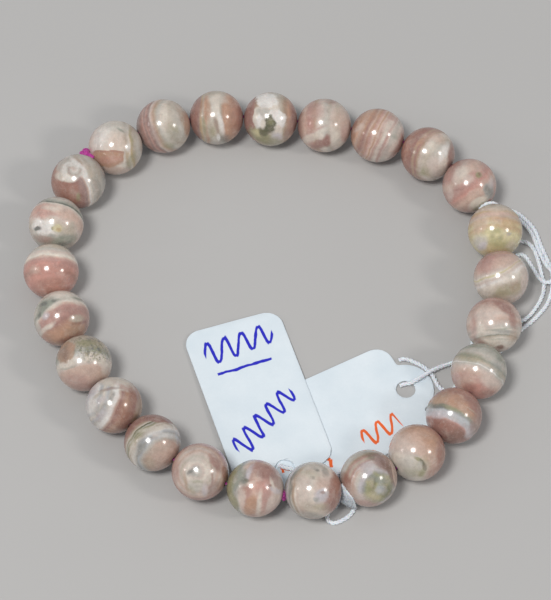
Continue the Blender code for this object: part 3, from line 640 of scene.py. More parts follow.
def stone_14(s):
    f = s.plane((-0.9, 0.0), (-0.2, -0.05), (0.3, -0.85))
    s.bands(f, [(-0.7, GREY_CREAM), (-0.35, GREY_CREAM), (-0.1, CREAM), (0.02, PINK_CREAM), (0.15, PEACH), (0.4, PEACH),
                (0.7, TAN_ORANGE), (1.0, TAN_ORANGE), (1.4, TERRACOTTA)])
    s.layers(f, 4, 0.05)
    s.patch(-0.5, 0.35, 0.35, 0.3, PINK_CREAM, turn=-20, soft=0.6, strength=0.7)
    s.patch(-0.2, 0.6, 0.4, 0.2, PEACH, soft=0.6, strength=0.6)
    s.patch(-0.35, -0.4, 0.4, 0.4, GREY_CREAM, soft=0.6, strength=0.7)
    s.patch(0.15, -0.5, 0.24, 0.34, OLIVE, turn=-15, soft=0.7, strength=0.55, rough=0.5)
    s.patch(0.02, -0.2, 0.16, 0.06, OLIVE, turn=-30, soft=0.5, strength=0.9, rough=0.5)
    s.patch(0.14, -0.3, 0.12, 0.06, DARK_OLIVE, turn=-55, soft=0.5, strength=0.9, rough=0.5)
    s.patch(0.22, -0.48, 0.14, 0.08, DARK_OLIVE, turn=-75, soft=0.5, strength=0.9, rough=0.5)
    s.patch(0.15, -0.68, 0.12, 0.1, OLIVE, turn=40, soft=0.6, strength=0.8, rough=0.5)
    s.patch(0.05, -0.42, 0.1, 0.16, GREY_CREAM, soft=0.6, strength=0.7)
    s.patch(-0.25, -0.68, 0.25, 0.16, OLIVE, turn=-30, soft=0.8, strength=0.35)
    s.patch(0.5, 0.3, 0.25, 0.4, TAN_ORANGE, soft=0.7, strength=0.5)
    s.patch(0.84, 0.0, 0.2, 0.75, TERRACOTTA, soft=0.5, strength=0.85)
    s.patch(0.55, -0.7, 0.3, 0.2, TERRACOTTA, turn=40, soft=0.6, strength=0.6)


def stone_15(s):
    f = s.shell(0.35, -0.35)
    s.bands(f, [(0.0, GREY_GREEN), (0.48, GREY_GREEN), (0.56, GREY), (0.68, LAVENDER), (0.8, GREY_CREAM), (0.88, PINK_CREAM),
                (0.94, PEACH), (0.99, PINK_CREAM), (1.05, ROSE), (1.1, PEACH), (1.16, BEIGE), (1.22, ROSE), (1.3, TAN),
                (1.4, GREY_CREAM), (1.55, BEIGE), (1.8, ROSE)])
    s.layers(f, 8, 0.08)
    s.patch(-0.05, 0.4, 0.3, 0.2, LAVENDER, turn=20, soft=0.6, strength=0.7, rough=0.5)
    s.patch(-0.8, -0.12, 0.16, 0.34, TERRACOTTA, turn=8, soft=0.5, strength=0.9)
    s.patch(-0.55, -0.45, 0.14, 0.3, PEACH, turn=30, soft=0.6, strength=0.7)
    s.patch(-0.15, -0.7, 0.4, 0.16, PINK_CREAM, turn=-20, soft=0.6, strength=0.85)
    s.patch(-0.05, -0.85, 0.5, 0.1, ROSE, turn=-8, soft=0.6, strength=0.7)
    s.patch(0.12, 0.78, 0.3, 0.12, DARK_OLIVE, turn=-10, soft=0.6, strength=0.6, rough=0.5)
    s.patch(0.45, 0.6, 0.34, 0.22, MAUVE, turn=-38, soft=0.4, strength=0.9)
    s.patch(0.55, 0.5, 0.24, 0.1, BROWN, turn=-45, soft=0.6, strength=0.7)
    s.patch(0.78, 0.2, 0.12, 0.5, BROWN, turn=14, soft=0.4, strength=0.85)
    s.patch(0.86, 0.12, 0.04, 0.5, PEACH, turn=12, soft=0.5, strength=0.9)
    s.patch(0.33, -0.3, 0.46, 0.48, GREEN_OLIVE, soft=0.35, rough=0.6, strength=0.9)
    s.patch(0.32, -0.02, 0.34, 0.12, GREY_GREEN, turn=-10, soft=0.6, strength=0.9, rough=0.7)
    s.patch(0.1, -0.5, 0.22, 0.2, OLIVE, turn=-30, soft=0.6, strength=0.6, rough=0.7)
    s.patch(0.2, -0.62, 0.26, 0.1, YELLOW, turn=-20, soft=0.7, strength=0.6, rough=0.6)
    s.patch(0.65, -0.4, 0.16, 0.24, DARK_OLIVE, turn=20, soft=0.7, strength=0.45, rough=0.7)
    s.patch(0.4, -0.3, 0.2, 0.2, SILVER, turn=20, soft=0.6, rough=0.8, strength=0.85)
    s.patch(0.15, -0.18, 0.06, 0.2, DARK_OLIVE, turn=-15, soft=0.7, strength=0.45, rough=0.6)
    s.shade(0.93)


def stone_16(s):
    f = s.plane((-0.5, -0.85), (-0.8, 0.0), (-0.5, 0.8))
    s.bands(f, [(-1.8, ROSE_BROWN), (-1.4, ROSE), (-1.0, PINK_CREAM), (-0.7, CREAM), (-0.4, PEACH), (-0.28, CREAM), (-0.18, TAN),
                (-0.1, BEIGE), (-0.03, GREY_CREAM), (0.04, GREY), (0.1, GREY_CREAM), (0.18, LAVENDER), (0.3, GREY)])
    s.layers(f, 5, 0.07)
    s.patch(-0.62, 0.55, 0.06, 0.2, DARK_GREY, turn=-35, soft=0.6, strength=0.75, rough=0.5)
    s.patch(-0.76, 0.1, 0.04, 0.35, DARK_GREY, turn=-4, soft=0.7, strength=0.6, rough=0.5)
    s.patch(-0.55, 0.4, 0.1, 0.3, TAN, turn=-28, soft=0.6, strength=0.6)
    s.patch(-0.15, 0.4, 0.4, 0.4, GREY_CREAM, soft=0.6, strength=0.7)
    s.patch(-0.1, 0.62, 0.3, 0.14, OLIVE, turn=-10, soft=0.8, strength=0.35)
    s.patch(-0.42, -0.1, 0.08, 0.4, CREAM, turn=4, soft=0.6, strength=0.8)
    s.patch(-0.3, 0.0, 0.2, 0.5, PINK_CREAM, turn=0, soft=0.6, strength=0.7)
    s.patch(0.8, -0.1, 0.3, 0.85, TERRACOTTA, soft=0.25, rough=0.3)
    s.patch(0.55, -0.4, 0.2, 0.35, ROSE_BROWN, turn=-20, soft=0.5, strength=0.7)
    s.patch(0.3, 0.25, 0.25, 0.3, PEACH, soft=0.7, strength=0.7)
    s.patch(0.28, -0.12, 0.22, 0.26, LAVENDER, turn=-20, soft=0.4, strength=0.95, rough=0.5)
    s.patch(0.1, -0.26, 0.1, 0.08, GREY, turn=-30, soft=0.6, strength=0.9, rough=0.6)
    s.patch(0.32, -0.02, 0.08, 0.06, MAUVE, soft=0.6, strength=0.8)
    s.patch(0.08, 0.76, 0.12, 0.05, DARK_GREY, turn=-25, soft=0.6, strength=0.7, rough=0.5)
    s.patch(0.42, 0.7, 0.1, 0.14, DARK_GREY, turn=30, soft=0.6, strength=0.5)
    s.patch(0.0, 0.5, 0.05, 0.05, DARK_GREY, soft=0.6, strength=0.45)
    s.patch(-0.1, 0.88, 0.4, 0.12, GREY_CREAM, soft=0.5, strength=0.8)
    s.patch(0.0, -0.6, 0.5, 0.22, BEIGE, turn=-10, soft=0.6, strength=0.7)
    s.patch(0.25, -0.5, 0.2, 0.12, OLIVE, soft=0.7, strength=0.35)
    s.patch(-0.2, -0.86, 0.6, 0.14, GREY, turn=-10, soft=0.5, strength=0.6)
    s.shade(0.98)


def stone_17(s):
    f = s.plane((-0.45, -0.85), (-0.6, 0.0), (-0.35, 0.85))
    s.bands(f, [(-1.6, ROSE_BROWN), (-1.2, PINK_CREAM), (-0.9, ROSE), (-0.6, PEACH), (-0.35, ROSE), (-0.2, PEACH),
                (-0.08, PINK_CREAM), (0.0, GREY_CREAM), (0.06, GREY), (0.14, GREY_GREEN), (0.3, OLIVE)])
    s.layers(f, 5, 0.07)
    s.patch(-0.48, 0.4, 0.24, 0.32, GREY_GREEN, turn=-30, soft=0.4, strength=0.9, rough=0.5)
    s.patch(-0.18, 0.62, 0.1, 0.28, LAVENDER, turn=-20, soft=0.5, strength=0.9, rough=0.4)
    s.patch(-0.2, 0.22, 0.3, 0.06, CREAM, turn=18, soft=0.6, strength=0.6)
    s.patch(-0.4, 0.3, 0.1, 0.2, DARK_GREY, turn=-30, soft=0.7, strength=0.6, rough=0.7)
    s.patch(-0.5, 0.0, 0.06, 0.16, DARK_GREY, turn=-20, soft=0.7, strength=0.55, rough=0.7)
    s.patch(-0.28, 0.34, 0.08, 0.05, DARK_OLIVE, soft=0.6, strength=0.6, rough=0.6)
    s.patch(-0.45, -0.15, 0.1, 0.35, PINK_CREAM, turn=6, soft=0.6, strength=0.8)
    s.patch(0.35, 0.6, 0.45, 0.25, ROSE_BROWN, turn=-25, soft=0.4, strength=0.9, rough=0.4)
    s.patch(0.75, 0.3, 0.14, 0.3, MAUVE, turn=20, soft=0.6, strength=0.7)
    s.patch(-0.15, -0.55, 0.2, 0.42, TAN_ORANGE, turn=-6, soft=0.3)
    s.patch(-0.3, 0.02, 0.2, 0.16, TERRACOTTA, turn=10, soft=0.6, strength=0.6)
    s.patch(0.15, 0.15, 0.3, 0.2, SALMON, soft=0.6, strength=0.6)
    s.patch(0.66, 0.0, 0.3, 0.09, LAVENDER, turn=-30, soft=0.5, strength=0.85, rough=0.5)
    s.patch(0.6, 0.2, 0.06, 0.2, CREAM, turn=20, soft=0.6, strength=0.8)
    s.patch(0.13, -0.5, 0.09, 0.45, CREAM, turn=-6, soft=0.6, strength=0.8)
    s.patch(0.35, -0.25, 0.12, 0.4, ROSE, turn=-16, soft=0.6, strength=0.8)
    s.patch(0.52, -0.5, 0.12, 0.35, PINK_CREAM, turn=-20, soft=0.6, strength=0.8)
    s.patch(0.52, 0.16, 0.07, 0.05, BROWN, soft=0.6, strength=0.6, rough=0.6)
    s.patch(-0.72, -0.4, 0.12, 0.3, OLIVE, turn=20, soft=0.6, strength=0.8)


def stone_18(s):
    f = s.shell(-0.12, 0.05)
    s.bands(f, [(0.0, PINK_CREAM), (0.12, GREY_CREAM), (0.24, PINK_CREAM), (0.36, CREAM), (0.46, PINK_CREAM), (0.56, BEIGE),
                (0.66, PINK_CREAM), (0.78, PEACH), (0.9, PINK_CREAM), (1.02, PEACH), (1.15, ROSE), (1.5, ROSE)])
    s.layers(f, 6, 0.07)
    s.patch(-0.24, 0.08, 0.2, 0.12, GREY, turn=20, soft=0.7, strength=0.8, rough=0.7)
    s.patch(-0.34, 0.06, 0.12, 0.05, DARK_GREY, turn=30, soft=0.7, strength=0.65, rough=0.7)
    s.patch(-0.16, 0.16, 0.12, 0.04, DARK_GREY, turn=15, soft=0.7, strength=0.55, rough=0.7)
    s.patch(-0.1, 0.04, 0.08, 0.06, WHITE, soft=0.6, strength=0.7)
    s.patch(-0.15, 0.5, 0.35, 0.14, GREY_CREAM, turn=6, soft=0.7, strength=0.6)
    s.patch(-0.16, -0.45, 0.3, 0.26, GREY_CREAM, soft=0.4, strength=0.85, rough=0.5)
    s.patch(-0.1, -0.3, 0.2, 0.06, OLIVE, turn=-10, soft=0.8, strength=0.4, rough=0.6)
    s.patch(-0.5, -0.3, 0.06, 0.35, TAN, turn=10, soft=0.7, strength=0.7, rough=0.5)
    s.patch(-0.3, -0.62, 0.16, 0.1, OLIVE, turn=-40, soft=0.8, strength=0.35)
    s.patch(0.3, 0.1, 0.08, 0.45, CREAM, turn=6, soft=0.7, strength=0.5)
    s.patch(0.56, 0.35, 0.16, 0.34, ROSE_BROWN, turn=28, soft=0.5, strength=0.85, rough=0.5)
    s.patch(0.42, -0.1, 0.04, 0.4, ROSE_BROWN, turn=2, soft=0.7, strength=0.6, rough=0.4)
    s.patch(0.88, -0.02, 0.1, 0.3, TERRACOTTA, soft=0.5, strength=0.9)
    s.patch(0.5, -0.52, 0.16, 0.26, MAUVE, turn=-25, soft=0.6, strength=0.7, rough=0.4)
    s.patch(0.2, -0.6, 0.12, 0.22, LAVENDER, soft=0.6, strength=0.8)
    s.patch(-0.85, 0.1, 0.12, 0.4, ROSE, soft=0.6, strength=0.7)
    s.shade(0.96)


def stone_19(s):
    f = s.shell(0.5, -0.6)
    s.bands(f, [(0.0, PEACH), (0.72, PEACH), (0.84, GREY_CREAM), (0.92, SILVER), (1.0, GREY), (1.05, SILVER),
                (1.12, WHITE), (1.2, CREAM), (1.26, BEIGE), (1.3, CREAM), (1.36, OLIVE),
                (1.4, GREY_CREAM), (1.44, OLIVE), (1.48, CREAM), (1.54, TAN), (1.6, ROSE_BROWN), (1.8, TERRACOTTA)])
    s.layers(f, 5, 0.07)
    s.line(f, 1.3, 0.03, OLIVE, 0.8, within=s.spot(-0.5, 0.35, 0.4, 0.4, soft=0.5))
    s.line(f, 1.45, 0.035, DARK_OLIVE, 0.85, within=s.spot(-0.3, 0.55, 0.6, 0.3, soft=0.5))
    s.patch(-0.5, 0.3, 0.3, 0.14, OLIVE, turn=50, soft=0.6, strength=0.5, rough=0.6)
    s.patch(0.1, 0.5, 0.5, 0.07, CREAM, turn=8, soft=0.5, strength=0.8)
    s.patch(0.3, 0.32, 0.5, 0.1, WHITE, turn=-3, soft=0.6, strength=0.7)
    s.patch(-0.35, -0.1, 0.14, 0.3, GREY, turn=-25, soft=0.5, strength=0.8, rough=0.4)
    s.patch(-0.2, 0.15, 0.25, 0.08, SILVER, turn=35, soft=0.6, strength=0.7)
    s.patch(-0.6, -0.35, 0.1, 0.4, CREAM, turn=10, soft=0.5, strength=0.7)
    s.patch(0.3, 0.86, 0.6, 0.16, ROSE_BROWN, turn=-10, soft=0.25, strength=0.95)
    s.patch(0.2, -0.2, 0.3, 0.14, BEIGE, turn=10, soft=0.7, strength=0.6)
    s.patch(-0.1, -0.65, 0.2, 0.25, OLIVE, turn=-10, soft=0.7, strength=0.35)
    s.patch(0.35, -0.4, 0.3, 0.35, PEACH, soft=0.5, strength=0.6)
    s.patch(-0.35, 0.1, 0.1, 0.5, DARK_GREY, turn=-35, soft=0.7, strength=0.3)
    s.shade(0.83)


def stone_20(s):
    f = s.plane((-0.48, -0.82), (0.1, 0.05), (0.24, 0.66))
    s.bands(f, [(-0.9, TAN), (-0.7, ROSE_BROWN), (-0.3, TAN_ORANGE), (-0.1, ROSE_BROWN), (-0.04, PEACH), (0.04, WHITE),
                (0.14, WHITE), (0.24, GREY_CREAM), (0.32, SILVER), (0.42, CREAM), (0.52, SILVER), (0.6, WHITE), (0.75, LAVENDER)])
    s.layers(f, 5, 0.06)
    s.patch(0.05, 0.86, 0.8, 0.24, CREAM, turn=-18, soft=0.2, rough=0.2)
    s.patch(0.35, 0.66, 0.35, 0.06, ROSE, turn=-24, soft=0.6, strength=0.6)
    s.patch(0.12, 0.5, 0.1, 0.3, WHITE, turn=-6, soft=0.5, strength=0.8)
    s.patch(-0.05, 0.3, 0.06, 0.22, GREY, turn=-28, soft=0.5, strength=0.9, rough=0.5)
    s.patch(-0.2, 0.1, 0.24, 0.06, GREY, turn=40, soft=0.6, strength=0.7, rough=0.5)
    s.patch(-0.1, 0.58, 0.35, 0.04, MAUVE, turn=10, soft=0.6, strength=0.7, rough=0.4)
    s.patch(-0.5, 0.4, 0.3, 0.06, BEIGE, turn=35, soft=0.7, strength=0.7)
    s.patch(-0.4, 0.2, 0.2, 0.1, LAVENDER, turn=35, soft=0.6, strength=0.7)
    s.patch(-0.72, 0.0, 0.16, 0.3, WHITE, soft=0.5, strength=0.8)
    s.patch(-0.55, -0.1, 0.2, 0.16, GREY, turn=30, soft=0.7, strength=0.5, rough=0.6)
    s.patch(-0.4, -0.3, 0.25, 0.14, LAVENDER, turn=50, soft=0.6, strength=0.7)
    s.patch(0.3, -0.35, 0.3, 0.4, TERRACOTTA, soft=0.7, strength=0.6)
    s.patch(0.9, 0.1, 0.12, 0.6, TAN, soft=0.5, strength=0.6)
    s.patch(0.72, 0.45, 0.14, 0.3, TERRACOTTA, turn=25, soft=0.6, strength=0.7)
    s.shade(0.87)


def stone_21(s):
    f = s.plane((-0.84, -0.45), (-0.02, -0.03), (0.92, -0.24))
    s.bands(f, [(-0.9, MAUVE), (-0.6, ROSE), (-0.3, PEACH), (-0.06, PEACH), (0.02, PINK_CREAM), (0.1, CREAM), (0.25, CREAM),
                (0.35, GREY_CREAM), (0.5, GREY_GREEN), (0.8, BEIGE)])
    s.layers(f, 4, 0.05)
    s.patch(0.35, 0.25, 0.4, 0.16, CREAM, turn=-12, soft=0.5, strength=0.8, rough=0.5)
    s.patch(-0.1, 0.28, 0.16, 0.3, WHITE, turn=-10, soft=0.5, strength=0.6, rough=0.5)
    cap = s.spot(0.35, 0.55, 0.7, 0.42, -25, 0.5, 0.4)
    s.specks(cap, DARK_GREY, 7.0, 0.52, 0.75)
    s.specks(cap, OLIVE, 12.0, 0.5, 0.6)
    s.patch(0.15, 0.72, 0.35, 0.1, OLIVE, turn=-5, soft=0.6, strength=0.8, rough=0.5)
    s.patch(-0.5, -0.12, 0.3, 0.05, GREY_GREEN, turn=15, soft=0.6, strength=0.6)
    s.patch(-0.45, 0.02, 0.3, 0.12, CREAM, turn=20, soft=0.5, strength=0.8)
    s.patch(-0.6, 0.4, 0.4, 0.32, TAN, turn=50, soft=0.15, rough=0.15)
    s.patch(-0.66, 0.36, 0.24, 0.22, BROWN, turn=50, soft=0.6, strength=0.55)
    s.patch(-0.4, 0.6, 0.16, 0.12, TAN_ORANGE, turn=40, soft=0.5, strength=0.6)
    s.patch(0.78, -0.2, 0.12, 0.2, CREAM, soft=0.6, strength=0.6)
    s.patch(-0.3, -0.55, 0.4, 0.2, ROSE, soft=0.6, strength=0.6)
    s.shade(0.93)


def stone_22(s):
    f = s.plane((-0.8, -0.1), (-0.3, 0.4), (0.7, 0.55))
    s.bands(f, [(-1.7, TERRACOTTA), (-1.1, TAN_ORANGE), (-0.85, TERRACOTTA), (-0.7, TAN_ORANGE), (-0.55, ROSE_BROWN), (-0.4, ROSE),
                (-0.15, ROSE), (-0.04, PEACH), (0.02, CREAM), (0.09, GREY_CREAM), (0.2, GREY_GREEN), (0.3, GREY_CREAM),
                (0.4, CREAM)])
    s.layers(f, 4, 0.06)
    s.patch(-0.6, 0.42, 0.38, 0.2, GREY_GREEN, turn=45, soft=0.4, strength=0.95, rough=0.6)
    s.patch(-0.6, 0.5, 0.14, 0.07, DARK_GREY, turn=30, soft=0.5, strength=0.8, rough=0.7)
    s.patch(-0.75, 0.15, 0.07, 0.14, DARK_GREY, turn=-10, soft=0.6, strength=0.6, rough=0.7)
    s.patch(-0.25, 0.62, 0.1, 0.05, DARK_GREY, turn=20, soft=0.6, strength=0.6, rough=0.7)
    s.patch(-0.2, 0.42, 0.3, 0.07, CREAM, turn=28, soft=0.6, strength=0.7, rough=0.5)
    s.patch(-0.5, 0.1, 0.12, 0.12, LAVENDER, turn=45, soft=0.6, strength=0.8)
    s.patch(0.1, 0.8, 0.4, 0.16, CREAM, soft=0.5, strength=0.85, rough=0.5)
    s.patch(0.5, 0.62, 0.3, 0.07, CREAM, turn=-25, soft=0.6, strength=0.6)
    s.patch(0.35, 0.2, 0.35, 0.2, ROSE_BROWN, turn=-5, soft=0.6, strength=0.6)
    s.patch(0.6, -0.02, 0.24, 0.13, BEIGE, turn=10, soft=0.5, strength=0.9, rough=0.4)
    s.patch(0.6, -0.18, 0.24, 0.06, BROWN, turn=14, soft=0.6, strength=0.5)
    s.patch(-0.5, -0.4, 0.4, 0.09, CREAM, turn=38, soft=0.5, strength=0.85, rough=0.4)
    s.patch(-0.8, -0.35, 0.12, 0.3, GREY_CREAM, turn=12, soft=0.5, strength=0.8)
    s.patch(-0.15, -0.6, 0.5, 0.22, TAN_ORANGE, turn=14, soft=0.5, strength=0.8)
    s.patch(0.5, -0.4, 0.3, 0.14, TAN, turn=14, soft=0.6, strength=0.6)


def stone_23(s):
    f = s.plane((-0.88, 0.34), (-0.1, 0.56), (0.95, 0.28))
    s.bands(f, [(-1.8, BROWN), (-1.2, TERRACOTTA), (-0.8, SALMON), (-0.5, TERRACOTTA), (-0.3, SALMON), (-0.12, ROSE), (-0.05, PEACH), (0.02, CREAM), (0.08, CREAM),
                (0.2, PINK_CREAM), (0.32, GREY_CREAM), (0.5, BEIGE)])
    s.layers(f, 4, 0.06)
    s.patch(0.1, -0.35, 0.7, 0.14, TERRACOTTA, turn=3, soft=0.7, strength=0.7)
    s.patch(-0.55, 0.05, 0.16, 0.12, PEACH, soft=0.7, strength=0.6)
    s.patch(0.0, 0.05, 0.5, 0.1, SALMON, soft=0.7, strength=0.6)
    s.patch(0.6, 0.2, 0.25, 0.14, ROSE_BROWN, turn=-15, soft=0.6, strength=0.5)
    s.shade(1.1)


def stone_24(s):
    f = s.plane((-0.6, 0.75), (0.2, 0.72), (0.9, 0.28))
    s.bands(f, [(-1.9, TAN), (-1.4, GREY_GREEN), (-1.1, GREY_CREAM), (-0.8, BEIGE), (-0.6, PINK_CREAM), (-0.4, PEACH), (-0.2, PEACH),
                (-0.08, PINK_CREAM), (-0.03, CREAM), (0.0, GREY_GREEN), (0.05, DARK_GREY), (0.1, GREY_GREEN), (0.3, GREY_CREAM)])
    s.layers(f, 4, 0.05)
    s.patch(-0.5, 0.4, 0.35, 0.3, SALMON, turn=20, soft=0.6, strength=0.7)
    s.patch(-0.1, 0.55, 0.4, 0.1, CREAM, turn=-4, soft=0.6, strength=0.7)
    s.patch(-0.2, 0.32, 0.45, 0.06, ROSE, turn=-3, soft=0.6, strength=0.6)
    s.patch(0.4, 0.3, 0.3, 0.16, PEACH, turn=-20, soft=0.6, strength=0.7)
    s.patch(-0.4, -0.12, 0.5, 0.28, WHITE, turn=-10, soft=0.3, rough=0.5, strength=0.95)
    s.patch(-0.62, -0.2, 0.16, 0.08, DARK_GREY, turn=15, soft=0.4, strength=0.95, rough=0.5)
    s.patch(-0.05, -0.15, 0.05, 0.06, DARK_OLIVE, soft=0.6, strength=0.8, rough=0.5)
    s.patch(0.12, -0.16, 0.18, 0.14, YELLOW, soft=0.5, strength=0.95, rough=0.4)
    s.patch(0.16, -0.2, 0.08, 0.06, OCHRE, soft=0.7, strength=0.8)
    s.patch(0.55, -0.15, 0.25, 0.2, BEIGE, turn=10, soft=0.6, strength=0.8)
    s.patch(-0.35, -0.6, 0.4, 0.14, ROSE_BROWN, turn=-12, soft=0.6, strength=0.65)
    s.patch(0.3, -0.62, 0.45, 0.2, GREY_GREEN, turn=14, soft=0.4, strength=0.9, rough=0.5)
    s.patch(0.3, -0.75, 0.25, 0.1, DARK_GREY, turn=10, soft=0.6, strength=0.7, rough=0.5)
    s.patch(-0.1, -0.42, 0.14, 0.06, GREY, turn=-10, soft=0.6, strength=0.7)
    s.shade(1.05)


def stone_25(s):
    f = s.plane((0.5, -0.8), (0.3, 0.1), (-0.1, 0.7))
    s.bands(f, [(-0.8, GREY), (-0.5, GREY_CREAM), (-0.3, BEIGE), (-0.12, GREY_CREAM), (-0.05, CREAM), (0.02, WHITE), (0.08, PEACH),
                (0.14, MAUVE), (0.3, ROSE_BROWN), (0.6, TERRACOTTA), (1.0, TERRACOTTA)])
    s.layers(f, 5, 0.06)
    s.patch(-0.2, 0.5, 0.6, 0.42, GREY_CREAM, turn=-10, soft=0.2, rough=0.2)
    s.patch(-0.4, 0.12, 0.4, 0.16, CREAM, turn=-12, soft=0.3, rough=0.2)
    whirl = s.spot(-0.22, 0.42, 0.46, 0.42, soft=0.35, rough=0.2)
    s.swirl(-0.15, 0.42, 0.36, 0.15, 0.3, WHITE, 0.6, hand=-1, within=whirl)
    s.swirl(-0.15, 0.42, 0.36, 0.62, 0.16, MAUVE, 0.45, hand=-1, within=whirl)
    s.patch(-0.12, 0.42, 0.12, 0.1, PINK_CREAM, soft=0.6, strength=0.8)
    s.patch(0.05, 0.72, 0.4, 0.08, TAN, turn=-38, soft=0.6, strength=0.5)
    s.patch(0.0, 0.64, 0.36, 0.07, WHITE, turn=-38, soft=0.5, strength=0.8)
    s.patch(0.3, 0.25, 0.09, 0.32, WHITE, turn=14, soft=0.5, strength=0.7)
    s.patch(0.62, 0.3, 0.2, 0.4, BEIGE, turn=18, soft=0.6, strength=0.6)
    s.patch(0.7, -0.2, 0.12, 0.4, GREY, turn=5, soft=0.6, strength=0.5, rough=0.6)
    s.patch(-0.3, -0.3, 0.5, 0.16, TERRACOTTA, turn=-10, soft=0.6, strength=0.7)
    s.patch(0.05, -0.62, 0.08, 0.14, OLIVE, turn=-20, soft=0.7, strength=0.8)
    s.patch(0.2, -0.3, 0.12, 0.3, MAUVE, turn=15, soft=0.6, strength=0.6)
    s.shade(0.96)


STONES = [
    stone_01, stone_02, stone_03, stone_04, stone_05, stone_06, stone_07, stone_08, stone_09, stone_10, stone_11,
    stone_12, stone_13, stone_14, stone_15, stone_16, stone_17, stone_18, stone_19, stone_20, stone_21, stone_22,
    stone_23, stone_24, stone_25,
]

# ---------------------------------------------------------------- geometry helpers


def add_object(name, data, material):
    obj = bpy.data.objects.new(name, data)
    bpy.context.scene.collection.objects.link(obj)
    data.materials.append(material)
    return obj


def mesh_from(name, verts, faces, smooth=True):
    mesh = bpy.data.meshes.new(name)
    mesh.from_pydata([tuple(v) for v in verts], [], faces)
    mesh.validate()
    if smooth:
        mesh.shade_smooth()
    return mesh


def smooth_line(control, step):
    """Points about a step apart on the smooth curve through the control points."""
    pts = [Vector(p) for p in control]
    pts = [2 * pts[0] - pts[1]] + pts + [2 * pts[-1] - pts[-2]]
    fine = []
    for i in range(1, len(pts) - 2):
        p0, p1, p2, p3 = pts[i - 1 : i + 3]
        t0 = 0.0
        t1 = t0 + max((p1 - p0).length, 1e-6) ** 0.5
        t2 = t1 + max((p2 - p1).length, 1e-6) ** 0.5
        t3 = t2 + max((p3 - p2).length, 1e-6) ** 0.5
        for k in range(24):
            t = t1 + (t2 - t1) * k / 24
            a1 = p0 * ((t1 - t) / (t1 - t0)) + p1 * ((t - t0) / (t1 - t0))
            a2 = p1 * ((t2 - t) / (t2 - t1)) + p2 * ((t - t1) / (t2 - t1))
            a3 = p2 * ((t3 - t) / (t3 - t2)) + p3 * ((t - t2) / (t3 - t2))
            b1 = a1 * ((t2 - t) / (t2 - t0)) + a2 * ((t - t0) / (t2 - t0))
            b2 = a2 * ((t3 - t) / (t3 - t1)) + a3 * ((t - t1) / (t3 - t1))
            fine.append(b1 * ((t2 - t) / (t2 - t1)) + b2 * ((t - t1) / (t2 - t1)))
    fine.append(pts[-2])
    along = [0.0]
    for a, b in zip(fine, fine[1:]):
        along.append(along[-1] + (b - a).length)
    count = max(2, round(along[-1] / step) + 1)
    line, j = [], 0
    for k in range(count):
        want = along[-1] * k / (count - 1)
        while j < len(fine) - 2 and along[j + 1] < want:
            j += 1
        f = (want - along[j]) / max(along[j + 1] - along[j], 1e-9)
        line.append(fine[j].lerp(fine[j + 1], f))
    return line


def line_frames(line, cyclic=False):
    """(tangent, normal, binormal) at each point, turned along the line without twist."""
    n = len(line)
    tangents = []
    for i in range(n):
        a = line[i - 1] if i or cyclic else line[0]
        b = line[(i + 1) % n] if i < n - 1 or cyclic else line[-1]
        tangents.append((b - a).normalized())
    normal = tangents[0].orthogonal().normalized()
    frames = []
    for t in tangents:
        normal = (normal - t * normal.dot(t)).normalized()
        frames.append((t, normal, t.cross(normal)))
    return frames


def tube_faces(rings, sides, base, closed_ends=True, cyclic=False):
    faces = []
    for i in range(rings if cyclic else rings - 1):
        j = (i + 1) % rings
        for k in range(sides):
            m = (k + 1) % sides
            faces.append((base + i * sides + k, base + i * sides + m, base + j * sides + m, base + j * sides + k))
    if closed_ends and not cyclic:
        faces.append(tuple(base + k for k in reversed(range(sides))))
        faces.append(tuple(base + (rings - 1) * sides + k for k in range(sides)))
    return faces


def twisted(line, diameter, plies, pitch, sides=7, loose=0.0, seed=1):
    """Verts and faces, in metres, of a cord of twisted plies along a line in millimetres."""
    rng = random.Random(seed)
    frames = line_frames(line)
    r = diameter / 2 / (1 + 1 / math.sin(math.pi / plies)) if plies > 1 else diameter / 2
    off = diameter / 2 - r
    wave = [rng.uniform(0, 6.28) for _ in range(3 * plies)]
    verts, faces, s = [], [], [0.0]
    for a, b in zip(line, line[1:]):
        s.append(s[-1] + (b - a).length)
    for ply in range(plies):
        base = len(verts)
        for d, p, (t, n, b) in zip(s, line, frames):
            phase = 2 * math.pi * (d / pitch + ply / plies)
            reach = off * (1 + loose * math.sin(d * 2.3 + wave[ply]) * math.sin(d * 0.71 + wave[ply + plies]))
            c = p + (n * math.cos(phase) + b * math.sin(phase)) * reach
            fat = r * (1.12 + 0.10 * math.sin(d * 3.1 + wave[ply + 2 * plies]))
            for k in range(sides):
                q = 2 * math.pi * k / sides
                v = c + (n * math.cos(q) + b * math.sin(q)) * fat
                verts.append(Vector((v.x, v.y, max(v.z, 0.01))) * MM)
        faces += tube_faces(len(line), sides, base)
    return verts, faces


